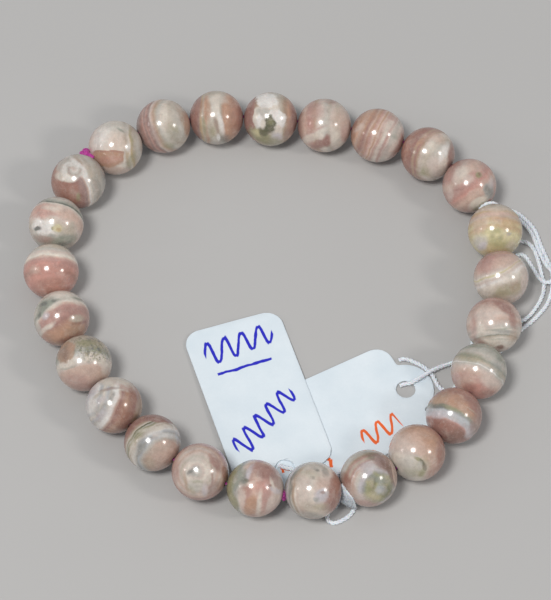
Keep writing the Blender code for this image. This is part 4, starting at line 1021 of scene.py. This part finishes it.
def fibres(line, radius, count, seed, reach=(0.12, 0.42), width=0.014):
    """Verts and faces of fine stray fibres that stand off a cord."""
    rng = random.Random(seed)
    frames = line_frames(line)
    verts, faces = [], []
    for _ in range(count):
        i = rng.randrange(2, len(line) - 2)
        t, n, b = frames[i]
        q = rng.uniform(0, 2 * math.pi)
        out = n * math.cos(q) + b * math.sin(q)
        start = line[i] + out * radius * 0.8
        lean = t * rng.uniform(-1.2, 1.2) + n * rng.uniform(-0.5, 0.5) + b * rng.uniform(-0.5, 0.5)
        length = rng.uniform(*reach)
        mid = start + (out + lean * 0.5).normalized() * length * 0.55
        end = mid + (out * 0.5 + lean).normalized() * length * 0.6
        if min(mid.z, end.z) < 0.03:
            continue
        side = t.cross(out).normalized() * width
        base = len(verts)
        for p, w in ((start, 1.0), (mid, 0.8), (end, 0.25)):
            verts += [(p + side * w) * MM, (p - side * w) * MM, (p + out * width * w) * MM]
        for ring in (0, 3):
            for k in range(3):
                m = (k + 1) % 3
                faces.append((base + ring + k, base + ring + m, base + ring + 3 + m, base + ring + 3 + k))
        faces.append((base + 2, base + 1, base))
        faces.append((base + 6, base + 7, base + 8))
    return verts, faces


# ---------------------------------------------------------------- beads' places

COUNT = 25
RADIUS = 3.75
BORE = 0.42


def middle(node):
    low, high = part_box(node)
    return (low + high) / 2


CENTRES = [middle(f"bead_{i:02d}") for i in range(1, COUNT + 1)]


def bead(i):
    """Centre of bead i, counted from 1, in millimetres."""
    return CENTRES[(i - 1) % COUNT] / MM


def beside_gap(i, along, out, z):
    """A point by the gap after bead i: along the string, outwards from it, and at height z."""
    a, b = bead(i).to_2d(), bead(i + 1).to_2d()
    chord = (b - a).normalized()
    p = (a + b) / 2 + chord * along + Vector((-chord.y, chord.x)) * out
    return (p.x, p.y, z)


# ---------------------------------------------------------------- threads


def thread_material(name, tone):
    m = Nodes(name)
    m.seed = 2.0
    where = m.own(1000)
    n = m.noise(where, 1.6, 3.0, 0.6)
    fine = m.noise(where, 9.0, 2.0, 0.5, offset=4.0)
    shade = m.mix(m.linear(n, 0.3, 0.7), srgb(tone[0] - 14, tone[1] - 12, tone[2] - 8), srgb(*tone))
    m.feed(m.shader.inputs["Base Color"], m.mix(m.linear(fine, 0.3, 0.75, 0.0, 0.25), shade, srgb(196, 204, 214)))
    m.shader.inputs["Roughness"].default_value = 0.85
    m.shader.inputs["Sheen Weight"].default_value = 0.4
    m.shader.inputs["Subsurface Weight"].default_value = 0.1
    m.shader.inputs["Subsurface Scale"].default_value = 0.0003
    m.bump(fine, 0.3, 0.00004)
    return m.material


COTTON = thread_material("cotton", (240, 244, 248))
THREAD_D = 0.5
Z = 0.27

BACK_THREAD = [
    (17.75, -9.95, Z), (18.45, -9.7, 0.4), (19.2, -9.55, 0.57), (20.0, -9.0, 0.66), (20.9, -8.3, 0.76),
    (21.8, -7.6, 0.84), (23.0, -6.8, 0.7), (24.8, -5.75, 0.4), (25.95, -4.8, Z), (26.85, -3.6, Z),
    (27.3, -2.3, Z), (27.25, -0.9, Z), (27.6, 0.4, Z), (28.5, 1.4, Z), (29.7, 1.85, Z), (31.1, 1.8, Z),
    (32.5, 1.55, Z), (33.8, 1.75, Z), (34.8, 2.6, Z), (35.55, 3.75, Z), (36.25, 5.2, Z), (36.65, 6.7, Z),
    (36.65, 8.1, Z), (36.35, 9.4, Z), (36.05, 10.7, Z), (35.65, 12.1, Z), (34.95, 13.7, Z), (33.9, 14.5, Z),
    (32.65, 14.2, Z), (31.8, 13.1, Z), (31.2, 12.0, Z), (30.4, 11.3, Z), (29.4, 10.85, Z), (28.55, 10.3, Z),
    (28.1, 9.45, Z), (28.3, 8.6, Z), (29.0, 8.15, Z), (29.85, 8.35, Z), (30.7, 9.3, Z), (31.55, 10.6, Z),
    (32.15, 11.6, Z), (32.65, 12.15, Z), (33.25, 12.4, Z), (33.85, 12.2, Z), (34.3, 11.7, Z),
    (34.75, 10.95, Z), (35.35, 9.95, Z), (35.75, 9.1, 0.42),
    (36.05, 8.45, 0.78), (36.65, 7.93, 0.88), (37.35, 7.9, 0.88), (37.85, 8.4, 0.88), (37.9, 9.1, 0.86),
    (37.6, 9.9, 0.76), (37.05, 10.75, 0.45),
    (36.35, 12.1, Z), (35.6, 13.9, Z), (34.75, 16.0, Z), (33.75, 17.35, Z), (32.4, 18.4, Z),
    beside_gap(8, 0.35, 3.4, 0.45), beside_gap(8, 0.2, 2.5, 1.2), beside_gap(8, 0.05, 1.65, 1.95),
    beside_gap(8, 0, 0.95, 2.3), beside_gap(8, 0, 0.25, 2.68), beside_gap(8, 0, -0.15, 3.05),
    beside_gap(8, 0, -0.27, 3.5), beside_gap(8, 0, -0.1, 4.03), beside_gap(8, 0, 0.3, 4.35),
    beside_gap(8, 0, 0.8, 4.41), beside_gap(8, 0, 1.35, 4.2), beside_gap(8, 0, 1.9, 3.7),
    beside_gap(8, -0.05, 2.4, 3.0), beside_gap(8, -0.2, 3.05, 1.9), beside_gap(8, -0.3, 3.8, 0.8),
    (32.0, 19.3, 0.32), (32.85, 18.95, Z), (34.2, 17.75, Z), (35.25, 16.35, Z), (36.15, 13.95, Z),
    (36.95, 12.1, Z), (37.6, 10.4, Z), (37.85, 9.1, Z), (37.85, 7.7, Z), (37.7, 6.4, Z),
    (37.15, 4.6, Z), (36.3, 3.2, Z), (35.3, 1.9, Z), (34.2, 0.75, Z), (33.0, -0.5, Z),
    (32.2, -1.75, Z), (31.65, -2.7, Z), (30.9, -3.4, Z), (29.7, -4.1, Z), (28.4, -4.8, Z),
    (27.1, -5.7, Z), (26.2, -6.8, Z), (25.7, -7.9, Z), (25.4, -9.0, Z), (24.8, -9.9, Z), (23.9, -10.15, Z),
    (23.1, -9.7, Z), (22.55, -8.85, Z), (21.95, -7.75, Z),
    (20.75, -6.7, Z), (19.4, -6.05, Z), (18.5, -5.78, Z), (17.85, -5.82, Z), (17.42, -6.05, Z),
]
FRONT_THREAD = [
    (2.4, -23.7, 0.6), (3.1, -23.95, 0.72), (3.85, -24.2, 0.88), (4.7, -24.4, 0.95), (5.8, -24.55, 0.95),
    (6.8, -24.65, 0.93), (7.7, -24.75, 0.78), (8.6, -25.05, 0.6), (9.4, -25.7, 0.44), (10.0, -26.5, Z),
    (10.4, -27.3, Z), (10.6, -28.1, Z), (10.3, -28.85, Z), (9.7, -29.45, Z), (9.3, -30.2, Z), (9.4, -31.0, Z),
    (10.1, -31.4, Z), (11.1, -31.0, Z), (12.0, -30.3, Z), (12.6, -29.4, Z), (12.75, -28.4, Z),
    (12.4, -27.6, Z), (12.0, -26.8, Z), (11.85, -26.0, Z), (11.95, -25.2, 0.4), (11.8, -24.4, 0.56),
    (11.1, -23.8, 0.58), (10.35, -24.05, 0.58), (10.15, -24.8, 0.56), (10.4, -25.6, 0.42), (10.85, -26.3, Z),
    (11.2, -26.9, 0.3),
]


def line_length(line):
    return sum((b - a).length for a, b in zip(line, line[1:]))


def thread_piece(name, control, plies, seed):
    line = smooth_line(control, 0.14)
    verts, faces = twisted(line, THREAD_D * 1.14, plies, 1.7, loose=0.1, seed=seed)
    piece = add_object(name, mesh_from(name, verts, faces), COTTON)
    fuzz_verts, fuzz_faces = fibres(line, THREAD_D / 2, round(line_length(line) * 34), seed, (0.1, 0.4), 0.014)
    fuzz = add_object(name + "_fuzz", mesh_from(name + "_fuzz", fuzz_verts, fuzz_faces), COTTON)
    fuzz.parent = piece
    return piece, line


thread_back, back_line = thread_piece("back_thread_cord", BACK_THREAD, 3, 7)
thread_front, front_line = thread_piece("front_thread_cord", FRONT_THREAD, 3, 8)


def knot_piece(name, centre, size, thick, turn, tilt, material, tails, seed):
    """An overhand knot pulled tight, and its short tails."""
    line = []
    for k in range(120):
        t = 2 * math.pi * k / 120
        line.append(
            Vector(
                (
                    (math.sin(t) + 2 * math.sin(2 * t)) / 3,
                    (math.cos(t) - 2 * math.cos(2 * t)) / 3,
                    -math.sin(3 * t) * 0.42,
                )
            )
            * size
        )
    verts, faces = [], []
    frames = line_frames(line, cyclic=True)
    sides = 10
    for p, (t, n, b) in zip(line, frames):
        for k in range(sides):
            q = 2 * math.pi * k / sides
            verts.append((p + (n * math.cos(q) + b * math.sin(q)) * thick))
    faces += tube_faces(len(line), sides, 0, cyclic=True)
    for tail in tails:
        pts = smooth_line(tail, 0.08)
        base = len(verts)
        for i, (p, (t, n, b)) in enumerate(zip(pts, line_frames(pts))):
            w = thick * (0.9 if i < len(pts) - 2 else 0.6)
            for k in range(sides):
                q = 2 * math.pi * k / sides
                verts.append(p + (n * math.cos(q) + b * math.sin(q)) * w)
        faces += tube_faces(len(pts), sides, base)
    place = Matrix.Translation(Vector(centre)) @ Matrix.Rotation(turn, 4, "Z") @ Matrix.Rotation(tilt, 4, "Y")
    verts = [(place @ v) * MM for v in verts]
    return add_object(name, mesh_from(name, verts, faces), material)


thread_knot = knot_piece(
    "front_thread_knot", (11.6, -27.85, 0.55), 0.4, 0.2, math.radians(-68), 0.2, COTTON,
    [[(-0.85, 0, -0.15), (-0.5, 0.02, -0.05), (-0.1, 0.02, 0)], [(0.1, 0, 0), (0.42, 0.1, -0.05), (0.75, 0.22, -0.14)]], 3,
)

# The knot's loose strands fan up into the groove between beads 15 and 16. The near ones lie over bead 15


def off_beads(p, i, room):
    """The point, moved out of the two beads beside gap i where it would lie in one."""
    for _ in range(4):
        for b in (bead(i), bead(i + 1)):
            away = p - b
            if away.length < RADIUS + room:
                p = b + away.normalized() * (RADIUS + room)
    return p


verts, faces = [], []
rng = random.Random(15)
near = [(-0.12, 0.3, 4.3), (-0.4, 1.1, 4.5), (-0.7, 2.2, 4.5), (-1.15, 2.7, 3.3), (-1.35, 2.65, 1.7)]
far = [(-0.1, 0.3, 3.9), (-0.05, 0.4, 3.0), (0.2, 0.9, 2.2), (0.2, 1.3, 1.6), (-0.5, 1.65, 0.9)]
strands = 16
for k in range(strands):
    f = k / (strands - 1)
    route = [Vector((12.74, -28.85, 0.4 + 0.1 * f))]
    for one, other in zip(reversed(near), reversed(far)):
        p = Vector(one).lerp(Vector(other), f) + Vector((rng.uniform(-0.08, 0.08), 0, rng.uniform(-0.1, 0.1)))
        route.append(off_beads(Vector(beside_gap(15, *p)), 15, 0.13))
    line = [off_beads(p, 15, 0.12) for p in smooth_line(route, 0.1)]
    for more, more_faces in (
        twisted(line, 0.26, 2, 0.8, sides=5, loose=0.2, seed=30 + k),
        fibres(line, 0.12, round(line_length(line) * 26), 50 + k, (0.12, 0.38), 0.014),
    ):
        faces += [tuple(len(verts) + v for v in face) for face in more_faces]
        verts += more
loose_end = add_object("front_thread_loose_end", mesh_from("front_thread_loose_end", verts, faces), COTTON)
loose_end.parent = thread_knot

for piece in (thread_back, thread_front, thread_knot):
    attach(piece, "root")
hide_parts("thread_back_1", "thread_back_2", "thread_back_3")
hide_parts("thread_front")
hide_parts("thread_knot")

# ---------------------------------------------------------------- beads


def bead_mesh(i):
    """A polished ball with a drilled hole whose edge is slightly rounded, as seen in BEAD_AXES."""
    chord = (bead(i + 1) - bead(i - 1)).to_2d().normalized()
    along = Vector((chord.x, chord.y, 0))
    turn = BEAD_AXES.transposed() @ Matrix((along, Vector((-along.y, along.x, 0)), Vector((0, 0, 1)))).transposed()
    sides, rings, lip = 72, 48, 0.06
    start = math.asin((BORE + lip) / RADIUS)
    profile = []
    for k in range(rings + 1):
        a = start + (math.pi - 2 * start) * k / rings
        profile.append((RADIUS * math.cos(a), RADIUS * math.sin(a)))
    edge = profile[-1][0]
    for k in (1, 2, 3, 4):
        a = math.pi / 2 * k / 4
        profile.append((edge + lip * 1.1 * (1 - math.cos(a)) * 0.9, BORE + lip * (1 - math.sin(a))))
    inner = len(profile)
    for k in range(1, 6):
        x = profile[inner - 1][0] * (1 - 2 * k / 6)
        profile.append((x, BORE))
    for k in (4, 3, 2, 1):
        a = math.pi / 2 * k / 4
        profile.append((-(edge + lip * 1.1 * (1 - math.cos(a)) * 0.9), BORE + lip * (1 - math.sin(a))))
    verts, faces, n = [], [], len(profile)
    for x, r in profile:
        for j in range(sides):
            t = 2 * math.pi * j / sides
            verts.append(turn @ (Vector((x, r * math.cos(t), r * math.sin(t))) * MM))
    for a in range(n):
        b = (a + 1) % n
        for j in range(sides):
            k = (j + 1) % sides
            faces.append((a * sides + j, b * sides + j, b * sides + k, a * sides + k))
    return mesh_from(f"stone_bead_{i:02d}", verts, faces)


for i in range(1, COUNT + 1):
    stone = Stone(i, RADIUS * MM)
    STONES[i - 1](stone)
    ball = add_object(f"stone_bead_{i:02d}", bead_mesh(i), stone.finish())
    ball.matrix_world = Matrix.Translation(CENTRES[i - 1]) @ BEAD_AXES.to_4x4()
    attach(ball, "root")
    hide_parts(f"bead_{i:02d}")

# ---------------------------------------------------------------- elastic


def elastic_material():
    m = Nodes("elastic_floss")
    m.seed = 1.0
    where = m.own(1000)
    n = m.noise(where, 6.0, 3.0, 0.6)
    m.feed(m.shader.inputs["Base Color"], m.mix(m.linear(n, 0.3, 0.7), srgb(144, 22, 116), srgb(196, 54, 160)))
    m.shader.inputs["Roughness"].default_value = 0.5
    m.shader.inputs["Sheen Weight"].default_value = 0.3
    m.bump(n, 0.3, 0.00003)
    return m.material


ELASTIC = elastic_material()
string_control = []
for i in range(1, COUNT + 1):
    c = bead(i)
    d = (bead(i + 1) - bead(i - 1)).normalized()
    for side in (-0.97, -0.5, 0.0, 0.5, 0.97):
        string_control.append(c + d * (side * RADIUS))


def ring_line(control, per):
    """A closed smooth line through points, by evenly spaced steps between them."""
    n, line = len(control), []
    for i in range(n):
        p0, p1, p2, p3 = (control[(i + k) % n] for k in (-1, 0, 1, 2))
        for k in range(per):
            t = k / per
            line.append(
                0.5
                * (
                    2 * p1
                    + (p2 - p0) * t
                    + (2 * p0 - 5 * p1 + 4 * p2 - p3) * t * t
                    + (3 * p1 - p0 - 3 * p2 + p3) * t * t * t
                )
            )
    return line


string = ring_line(string_control, 4)
string_frames = line_frames(string, cyclic=True)
verts, faces = [], []
strands = 5
for strand in range(strands):
    base = len(verts)
    turns = 60
    for k, (p, (t, n, b)) in enumerate(zip(string, string_frames)):
        phase = 2 * math.pi * (turns * k / len(string) + strand / strands)
        c = p + (n * math.cos(phase) + b * math.sin(phase)) * 0.1
        for q in range(7):
            a = 2 * math.pi * q / 7
            verts.append((c + (n * math.cos(a) + b * math.sin(a)) * 0.09) * MM)
    faces += tube_faces(len(string), 7, base, cyclic=True)

# The floss spreads where it shows between beads 16 and 17
rng = random.Random(16)
gap_middle = Vector(beside_gap(16, 0, 0, RADIUS))
gap_along = (bead(17) - bead(16)).normalized()
gap_out = Vector(beside_gap(16, 0, 1, RADIUS)) - gap_middle
for k in range(26):
    tilt = math.radians(-60 + 100 * k / 25)
    way = gap_out * math.cos(tilt) + Vector((0, 0, 1)) * math.sin(tilt)
    reach = rng.uniform(0.8, 1.6)
    wide = 0.1 + 0.12 * (reach - 0.9)
    arc = [
        gap_middle - gap_along * 0.02 + way * 0.1,
        gap_middle - gap_along * 0.05 + way * reach * 0.55,
        gap_middle - gap_along * (wide + rng.uniform(-0.04, 0.04)) + way * reach * 0.92,
        gap_middle + gap_along * rng.uniform(-0.03, 0.03) + way * reach,
        gap_middle + gap_along * (wide + rng.uniform(-0.04, 0.04)) + way * reach * 0.92,
        gap_middle + gap_along * 0.05 + way * reach * 0.55,
        gap_middle + gap_along * 0.02 + way * 0.1,
    ]
    pts = smooth_line(arc, 0.12)
    base = len(verts)
    for p, (t, n, b) in zip(pts, line_frames(pts)):
        for q in range(6):
            a = 2 * math.pi * q / 6
            verts.append((p + (n * math.cos(a) + b * math.sin(a)) * 0.05) * MM)
    faces += tube_faces(len(pts), 6, base)
elastic = add_object("elastic_floss", mesh_from("elastic_floss", verts, faces), ELASTIC)
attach(elastic, "root")
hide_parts("elastic_cord")

knot_base = Vector(beside_gap(25, 0, 0, RADIUS))
knot_way = (Vector(beside_gap(25, 0, 1, RADIUS)) - knot_base).normalized()
floss_knot = knot_piece(
    "elastic_floss_knot", knot_base + knot_way * 2.2 + Vector((0, 0, 0.5)), 0.42, 0.42,
    math.atan2(knot_way.y, knot_way.x), 0.5, ELASTIC,
    [
        [(-1.5, 0.0, -0.45), (-1.0, 0.02, -0.2), (-0.4, 0.0, 0.0)],
        [(0.1, 0.2, 0.1), (0.18, 0.32, 0.2), (0.2, 0.42, 0.26)],
        [(0.1, -0.2, 0.0), (0.2, -0.3, 0.1), (0.26, -0.38, 0.16)],
    ],
    4,
)
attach(floss_knot, "root")
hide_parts("elastic_knot")

# ---------------------------------------------------------------- tags

CARD = 0.28
CORNER_R, TAB_R, HOLE_R = 2.3, 3.8, 1.3
SHOULDER, BODY = 0.75, 24.35
NOTCH_R = 0.55


def tag_outline(width):
    """The card's edge in millimetres, hole at zero, tab towards +X, with a small round in each notch beside the tab."""
    half = width / 2
    first, last = SHOULDER, SHOULDER - BODY
    out = []

    def arc(cx, cy, r, a, b, steps):
        for k in range(steps + 1):
            t = a + (b - a) * k / steps
            out.append((cx + r * math.cos(t), cy + r * math.sin(t)))

    # the notch's round touches the shoulder line and the tab
    cx = SHOULDER + NOTCH_R
    cy = math.sqrt((TAB_R + NOTCH_R) ** 2 - cx**2)
    touch = math.atan2(cy, cx)
    arc(0, 0, TAB_R, -touch, touch, 40)
    arc(cx, cy, NOTCH_R, touch + math.pi, math.pi, 6)
    arc(first - CORNER_R, half - CORNER_R, CORNER_R, 0, math.pi / 2, 14)
    arc(last + CORNER_R, half - CORNER_R, CORNER_R, math.pi / 2, math.pi, 14)
    arc(last + CORNER_R, CORNER_R - half, CORNER_R, math.pi, 1.5 * math.pi, 14)
    arc(first - CORNER_R, CORNER_R - half, CORNER_R, 1.5 * math.pi, 2 * math.pi, 14)
    arc(cx, -cy, NOTCH_R, math.pi, math.pi - touch, 6)
    return [p for k, p in enumerate(out) if math.dist(p, out[k - 1]) > 1e-4]


def tag_piece(name, node, width, hole, turn, z, bend, material):
    """A card tag; bend gives the height of its underside over z at x, y."""
    outline = tag_outline(width)
    ring = [(HOLE_R * math.cos(2 * math.pi * k / 48), HOLE_R * math.sin(2 * math.pi * k / 48)) for k in range(48)]
    bm = bmesh.new()
    edges = []
    for loop in (outline, ring):
        verts = [bm.verts.new((x, y, 0.0)) for x, y in loop]
        edges += [bm.edges.new((a, b)) for a, b in zip(verts, verts[1:] + verts[:1])]
    bmesh.ops.triangle_fill(bm, use_beauty=True, edges=edges)
    for axis, low, high in (((1, 0, 0), -23, 4), ((0, 1, 0), -7, 7)):
        for k in range(low, high + 1):
            geom = bm.verts[:] + bm.edges[:] + bm.faces[:]
            bmesh.ops.bisect_plane(bm, geom=geom, dist=1e-5, plane_co=Vector(axis) * (k + 0.37), plane_no=axis)
    made = bmesh.ops.extrude_face_region(bm, geom=bm.faces[:])
    top = [e for e in made["geom"] if isinstance(e, bmesh.types.BMVert)]
    bmesh.ops.translate(bm, verts=top, vec=(0, 0, CARD))
    bmesh.ops.recalc_face_normals(bm, faces=bm.faces)
    rim = [e for e in bm.edges if len(e.link_faces) == 2 and e.calc_face_angle(0) > 1.0]
    bmesh.ops.bevel(bm, geom=rim, offset=0.05, segments=2, affect="EDGES", profile=0.5)
    for v in bm.verts:
        v.co.z += bend(v.co.x, v.co.y)
        v.co *= MM
    mesh = bpy.data.meshes.new(name)
    bm.to_mesh(mesh)
    bm.free()
    mesh.shade_smooth()
    mesh.set_sharp_from_angle(angle=math.radians(50))
    tag = add_object(name, mesh, material)
    tag.matrix_world = Matrix.Translation(Vector((hole[0], hole[1], z)) * MM) @ Matrix.Rotation(math.radians(turn), 4, "Z")
    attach(tag, "root")
    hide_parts(node)
    return tag


class Card(Nodes):
    """Pale card, with pen marks laid on it. Places are in the tag's own millimetres."""

    def __init__(self, name, seed):
        super().__init__(name)
        self.seed = seed
        self.place = self.own(1000)
        cloud = self.noise(self.place, 0.16, 3.0, 0.55)
        pulp = self.noise(self.place, 3.5, 3.0, 0.6, offset=3.0)
        pale = self.mix(self.linear(cloud, 0.3, 0.7), srgb(214, 226, 234), srgb(228, 237, 243))
        self.colour = self.mix(self.linear(pulp, 0.3, 0.7, 0.0, 0.12), pale, srgb(196, 206, 216))
        self.pulp = pulp

    def pen(self, a, b, width, colour, wave=0.0, periods=0.0, lean=0.0, strength=1.0):
        """A pen stroke from a to b, straight or waving to each side of that line."""
        a, b = Vector((*a, 0)), Vector((*b, 0))
        long = (b - a).length
        way = (b - a) / long
        off = self.vector("SUBTRACT", self.place, a)
        along = self.vector("DOT_PRODUCT", off, way)
        across = self.vector("DOT_PRODUCT", off, Vector((-way.y, way.x, 0)))
        shake = self.noise(self.place, 0.55, 2.0, 0.5, offset=9.0 + a.x)
        across = self.math("ADD", across, self.linear(shake, 0.0, 1.0, -0.35, 0.35))
        if wave:
            # the wave leans forward like a quick hand does
            phase = self.math("MULTIPLY", self.math("SUBTRACT", along, self.math("MULTIPLY", across, lean)), 2 * math.pi * periods / long)
            tall = self.linear(self.noise_along(along, 0.35, 1.0, offset=a.y), 0.2, 0.8, wave * 0.75, wave * 1.2)
            target = self.math("MULTIPLY", self.math("SINE", phase), tall)
            slope = self.math("MULTIPLY", self.math("MULTIPLY", self.math("COSINE", phase), tall), 2 * math.pi * periods / long)
            steep = self.math("SQRT", self.math("ADD", self.math("MULTIPLY", slope, slope), 1.0))
            gap = self.math("DIVIDE", self.math("ABSOLUTE", self.math("SUBTRACT", across, target)), steep)
        else:
            gap = self.math("ABSOLUTE", across)
        press = self.linear(self.noise(self.place, 1.1, 1.0, offset=15.0), 0.3, 0.7, width * 0.42, width * 0.58)
        inside = self.step(self.math("SUBTRACT", gap, press), -0.05, 0.05, strength, 0.0)
        ends = self.math(
            "MULTIPLY", self.step(along, -0.08, 0.08), self.step(along, long - 0.08, long + 0.08, 1.0, 0.0)
        )
        facing = self.split(self.node("ShaderNodeTexCoord").outputs["Normal"])[2]
        front = self.step(facing, 0.3, 0.6)
        mask = self.math("MULTIPLY", self.math("MULTIPLY", inside, ends), front)
        self.colour = self.mix(mask, self.colour, colour)

    def finish(self):
        self.feed(self.shader.inputs["Base Color"], self.colour)
        self.feed(self.shader.inputs["Roughness"], self.linear(self.pulp, 0.2, 0.8, 0.42, 0.55))
        self.bump(self.pulp, 0.12, 0.00005)
        return self.material


BLUE = srgb(30, 32, 190)
ORANGE = srgb(238, 104, 40)

front_card = Card("front_card", 5.0)
front_card.pen((-19.5, -4.9), (-20.4, 5.0), 0.44, BLUE, wave=1.45, periods=4.0, lean=0.25)
front_card.pen((-16.2, -4.1), (-16.45, 3.6), 0.44, BLUE)
front_card.pen((-4.3, -5.2), (-11.0, 4.5), 0.44, BLUE, wave=1.3, periods=5.0, lean=0.25)
back_card = Card("back_card", 6.0)
back_card.pen((-9.0, -4.3), (-3.2, -3.6), 0.42, ORANGE, wave=1.2, periods=2.5, lean=0.25)
back_card.pen((-14.9, -4.3), (-14.25, -4.85), 0.4, ORANGE)
back_card.pen((-14.25, -4.75), (-14.6, -5.9), 0.4, ORANGE)
back_card.pen((-20.75, -3.0), (-19.5, -3.8), 0.42, ORANGE)
back_card.pen((-20.6, -3.05), (-20.75, -3.7), 0.36, ORANGE)


def front_bend(x, y):
    # rests on the rear tag and sinks towards the ground at its far end
    t = min(1.0, max(0.0, (-x - 6) / 17))
    return -0.26 * t * t * (3 - 2 * t) + 0.05 * math.sin(y * 0.35 + 0.6) * t


def back_bend(x, y):
    return 0.0


tag_piece("tag_front_card", "tag_front", 13.7, (3.24, -24.04), -67.6, 0.34, front_bend, front_card.finish())
tag_piece("tag_back_card", "tag_back", 14.9, (18.6, -10.4), 32.3, 0.0, back_bend, back_card.finish())

# ---------------------------------------------------------------- floor, light


def floor_material():
    m = Nodes("floor")
    m.seed = 9.0
    n = m.noise(m.own(1.0), 14.0, 3.0, 0.6)
    m.feed(m.shader.inputs["Base Color"], m.mix(n, srgb(178, 177, 176), srgb(184, 183, 182)))
    m.shader.inputs["Roughness"].default_value = 0.75
    m.shader.inputs["Specular IOR Level"].default_value = 0.25
    return m.material


size = 3.0
floor_mesh = mesh_from("floor", [(-size, -size, 0), (size, -size, 0), (size, size, 0), (-size, size, 0)], [(0, 1, 2, 3)], False)
floor = bpy.data.objects.new("floor", floor_mesh)
floor_mesh.materials.append(floor_material())
bpy.context.scene.collection.objects.link(floor)
floor.location.z = -0.00003

world = bpy.data.worlds.new("studio")
bpy.context.scene.world = world
world.use_nodes = True
world.node_tree.nodes["Background"].inputs[0].default_value = (0.93, 0.96, 1.0, 1.0)
world.node_tree.nodes["Background"].inputs[1].default_value = 0.40


def lamp(name, way, distance, radius, watts, colour=(1, 1, 1), shape="DISK"):
    """A soft lamp that looks at the bracelet from a direction given in BEAD_AXES."""
    data = bpy.data.lights.new(name, "AREA")
    data.shape = shape
    data.size = 2 * radius
    data.energy = watts
    data.color = colour
    obj = bpy.data.objects.new(name, data)
    bpy.context.scene.collection.objects.link(obj)
    direction = (BEAD_AXES @ Vector(way)).normalized()
    obj.location = TARGET + direction * distance
    obj.rotation_euler = direction.to_track_quat("Z", "Y").to_euler()
    return obj


def glint(x, y):
    """The direction of the light that a polished bead shows at x, y."""
    n = on_bead(x, y)
    return 2 * n.z * n - Vector((0, 0, 1))


lamp("lamp_main", glint(-0.14, 0.10), 1.2, 0.17, 8.6, (1.0, 0.985, 0.96))
lamp("lamp_side", glint(0.42, 0.03), 1.2, 0.11, 2.8, (1.0, 0.95, 0.90))
lamp("lamp_faint", glint(-0.53, 0.08), 1.2, 0.09, 0.5, (1.0, 0.95, 0.92))

bpy.context.scene.view_settings.view_transform = "Standard"
bpy.context.scene.view_settings.look = "None"
